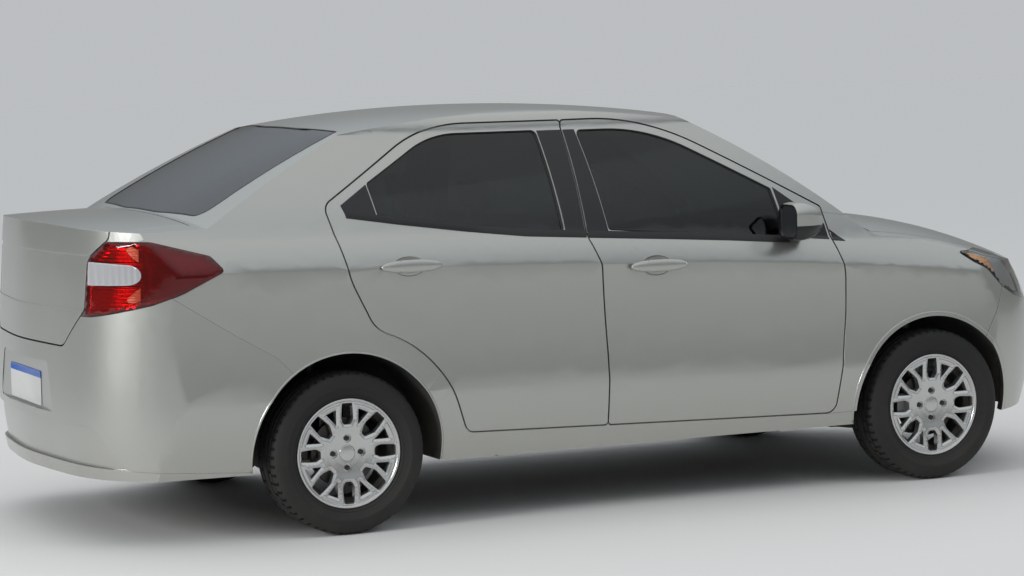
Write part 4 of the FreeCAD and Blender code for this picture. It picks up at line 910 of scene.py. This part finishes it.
PADS = {
    # name: side outline, low and high y, rounding, direction and places of the sewn channels, in pairs
    "seat_cushion": ([(-0.235, 0.335), (0.305, 0.345), (0.312, 0.450), (0.225, 0.492), (-0.120, 0.450),
                      (-0.235, 0.440)], -0.606, -0.134, 0.040, "x", (-0.10, 0.03, 0.16), True),
    "seat_back": ([(-0.345, 0.440), (-0.225, 0.430), (-0.205, 0.530), (-0.335, 1.050), (-0.430, 1.066),
                   (-0.455, 1.000)], -0.596, -0.144, 0.038, "z", (0.62, 0.76, 0.90), True),
    "head_rest": ([(-0.452, 1.120), (-0.376, 1.114), (-0.390, 1.256), (-0.470, 1.262)], -0.496, -0.244, 0.030,
                  "z", (), True),
    "bench_cushion": ([(-0.545, 0.330), (-0.500, 0.340), (-0.497, 0.465), (-0.545, 0.512), (-0.900, 0.476),
                       (-0.985, 0.500), (-0.985, 0.420), (-0.640, 0.400)], -0.532, 0.532, 0.028, "x",
                      (-0.86, -0.74, -0.62), False),
    "bench_back": ([(-1.085, 0.510), (-0.965, 0.495), (-1.158, 1.000), (-1.272, 1.036), (-1.276, 1.000)],
                   -0.532, 0.532, 0.030, "z", (0.64, 0.78, 0.92), False),
}


def pad_blank(name, corners, low_y, high_y, rounding):
    """A closed form from a side outline, its edges rounded, ready to be blown up."""
    mesh = prism(corners, low_y, high_y, rounding)
    rounded(mesh, [e for e in mesh.edges if abs(e.verts[0].co.y - e.verts[1].co.y) < 0.001], rounding * 0.8)
    blank = place_object(name + "_blank", to_data(mesh, name + "_blank"))
    put(blank.modifiers.new("cells", "REMESH"), mode="VOXEL", voxel_size=PAD_VOXEL)
    return blank


blanks = {name: pad_blank(name, *look[:4]) for name, look in PADS.items()}
bpy.context.view_layer.update()
pads = {}
for name, blank in blanks.items():
    cells = evaluated(blank)
    bpy.data.objects.remove(blank)
    start = bmesh.new()
    start.from_mesh(cells)
    bmesh.ops.smooth_vert(start, verts=start.verts, factor=0.5, use_axis_x=True, use_axis_y=True,
                          use_axis_z=True)
    outline_x, outline_z = zip(*PADS[name][0])
    inset = PAD_SHRINK / 2
    for vert in start.verts:
        vert.co -= vert.normal * PAD_SHRINK
        vert.co.x = min(max(vert.co.x, min(outline_x) + inset), max(outline_x) - inset)
        vert.co.z = min(max(vert.co.z, min(outline_z) + inset), max(outline_z) - inset)
    start.to_mesh(cells)
    start.free()
    pads[name] = place_object(name + "_start", cells)
    cover = pads[name].modifiers.new("cover", "CLOTH")
    put(cover.settings, quality=5, mass=0.3, tension_stiffness=15, compression_stiffness=15,
        use_pressure=True, uniform_pressure_force=4)
    cover.settings.effector_weights.gravity = 0
for moment in range(1, 21):
    bpy.context.scene.frame_set(moment)


def channelled(mesh, along, places, low_y, high_y):
    """Press sewn channels across a pad and a seam down each bolster."""
    for vert in mesh.verts:
        value = vert.co.x if along == "x" else vert.co.z
        distances = [vert.co.y - low_y - BOLSTER, vert.co.y - high_y + BOLSTER]
        if low_y + BOLSTER < vert.co.y < high_y - BOLSTER:
            distances += [value - place for place in places]
        press = sum(math.exp(-(distance / CHANNEL_WIDTH) ** 2) for distance in distances)
        vert.co -= vert.normal * CHANNEL_DEPTH * min(press, 1.2)


for name, pad in pads.items():
    corners, low_y, high_y, rounding, along, places, in_pairs = PADS[name]
    finished = bmesh.new()
    finished.from_mesh(evaluated(pad))
    for vert, first in zip(finished.verts, pad.data.vertices):
        move = vert.co - first.co
        vert.co = first.co + move * min(1.0, PAD_REACH / max(move.length, 1e-6))
    finished.normal_update()
    if places:
        channelled(finished, along, places, low_y, high_y)
    add = add_pair if in_pairs else add_piece
    made = add(name, finished, [seat_fabric], "body", "seat_fabric", sharp=180)
    for piece in made if in_pairs else [made]:
        put(piece.modifiers.new("finer", "SUBSURF"), levels=1, render_levels=1)
    if name == "seat_cushion":
        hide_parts("front_seats")
    if name == "bench_cushion":
        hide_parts("rear_seat")
    bpy.data.objects.remove(pad)
bpy.context.scene.frame_set(1)


def block(low, high, rounding, segments=2):
    """A moulded block between two corners, its edges rounded."""
    mesh = bmesh.new()
    bmesh.ops.create_cube(mesh, size=1)
    bmesh.ops.scale(mesh, vec=[b - a for a, b in zip(low, high)], verts=mesh.verts)
    return rounded(shifted(mesh, [(a + b) / 2 for a, b in zip(low, high)]), mesh.edges[:], rounding, segments)


rails = [block((-0.230, y, 0.272), (0.290, y + 0.030, 0.330), 0.004) for y in (-0.550, -0.220)]
posts = [block((-0.428, y, 1.030), (-0.412, y + 0.012, 1.150), 0.004) for y in (-0.439, -0.313)]
add_pair("seat_rails", merged(rails + posts), [seat_steel], "body", "chassis_black")
seat_valance = merged(block((-0.300, y, 0.330), (0.250, y + 0.019, 0.415), 0.008) for y in (-0.609, -0.150))
add_pair("seat_valance", seat_valance, [cabin_trim], "body", "cabin_plastic")
bench_rests = merged(block((-1.282, y - 0.115, 1.015), (-1.208, y + 0.115, 1.122), 0.025, 4)
                     for y in (-0.33, 0.33))
rests = add_piece("bench_head_rests", bench_rests, [seat_fabric], "body", "seat_fabric", sharp=60)

# Dashboard: a grained moulding with an instrument hood, vents, a dark blank screen and a console
# with the gear lever and the parking brake, and a leather-covered steering wheel.
wheel_leather = new_finish("wheel_leather", (0.020, 0.020, 0.020), 0, 0.48, 520, 0.0004, 0.25)
dress("dashboard", cabin_trim, "cabin_plastic", edge=0.004)
dress("steering_wheel", wheel_leather, "wheel_leather", edge=0.003, sharp=40)
console_parts = merged([
    block((0.535, -0.130, 0.780), (0.553, 0.130, 0.880), 0.006),
    block((0.545, 0.235, 0.900), (0.640, 0.505, 0.962), 0.014, 3),
    block((0.250, -0.060, 0.515), (0.420, 0.060, 0.530), 0.006),
])
add_piece("centre_stack", console_parts, [gloss_black], "body", "black_plastic")
vents = merged(block((0.540, y - 0.055, 0.800), (0.556, y + 0.055, 0.872), 0.005)
               for y in (-0.66, -0.20, 0.20, 0.66))
add_piece("air_vents", vents, [satin_silver], "body", "cabin_plastic")


def lever(foot, top, thick, knob):
    """A tapering lever with a rounded knob."""
    stalk = bmesh.new()
    way = Vector(top) - Vector(foot)
    bmesh.ops.create_cone(stalk, cap_ends=True, segments=24, radius1=thick, radius2=thick * 0.45,
                          depth=way.length)
    bmesh.ops.rotate(stalk, cent=(0, 0, 0), matrix=way.to_track_quat("Z", "Y").to_matrix(), verts=stalk.verts)
    shifted(stalk, (Vector(foot) + Vector(top)) / 2)
    ball = bmesh.new()
    bmesh.ops.create_icosphere(ball, subdivisions=3, radius=knob)
    bmesh.ops.scale(ball, vec=(1, 0.85, 1.25), verts=ball.verts)
    return merged([stalk, shifted(ball, top)])


levers = merged([lever((0.335, 0, 0.525), (0.320, 0, 0.660), 0.030, 0.024),
                 lever((-0.060, 0.045, 0.505), (0.080, 0.045, 0.590), 0.015, 0.017)])
add_piece("levers", levers, [wheel_leather], "body", "wheel_leather")

# Door handles: a painted grip over the dished cup of the door skin, round in section and drawn
# out to both ends, with a fine seam where the small cap of the lock begins.
GRIP_HALF = 0.1195
GRIP_FACE = -0.8545
GRIP_STEPS = 96
GRIP_SIDES = 28
CAP_SEAM = -0.045
for end, x, z in (("front", 0.120, 0.917), ("rear", -0.890, 0.968)):
    rings = []
    for step in range(GRIP_STEPS + 1):
        along = -GRIP_HALF + 2 * GRIP_HALF * step / GRIP_STEPS
        share = abs(along) / GRIP_HALF
        shrink = 0.90 if abs(along - CAP_SEAM) < 0.0014 else 1.0
        deep = 0.0112 * max(0.03, 1 - share ** 9) ** 0.5 * shrink
        tall = 0.0065 + 0.0175 * max(0.0, 1 - share ** 2.4) ** 0.62
        tall *= shrink * max(0.05, 1 - share ** 22) ** 0.5
        rings.append([(x + along, GRIP_FACE - deep * math.cos(turn), z + tall * math.sin(turn))
                      for turn in (side * math.tau / GRIP_SIDES for side in range(GRIP_SIDES + 1))])
    grip = through_rows(rings, outwards=False)
    bmesh.ops.remove_doubles(grip, verts=grip.verts, dist=WELD)
    bmesh.ops.edgeloop_fill(grip, edges=[edge for edge in grip.edges if edge.is_boundary])
    bmesh.ops.recalc_face_normals(grip, faces=grip.faces)
    add_pair("door_grip_" + end, grip, [silver_paint], "door_%s_%%s" % end, "silver_paint", sharp=50)
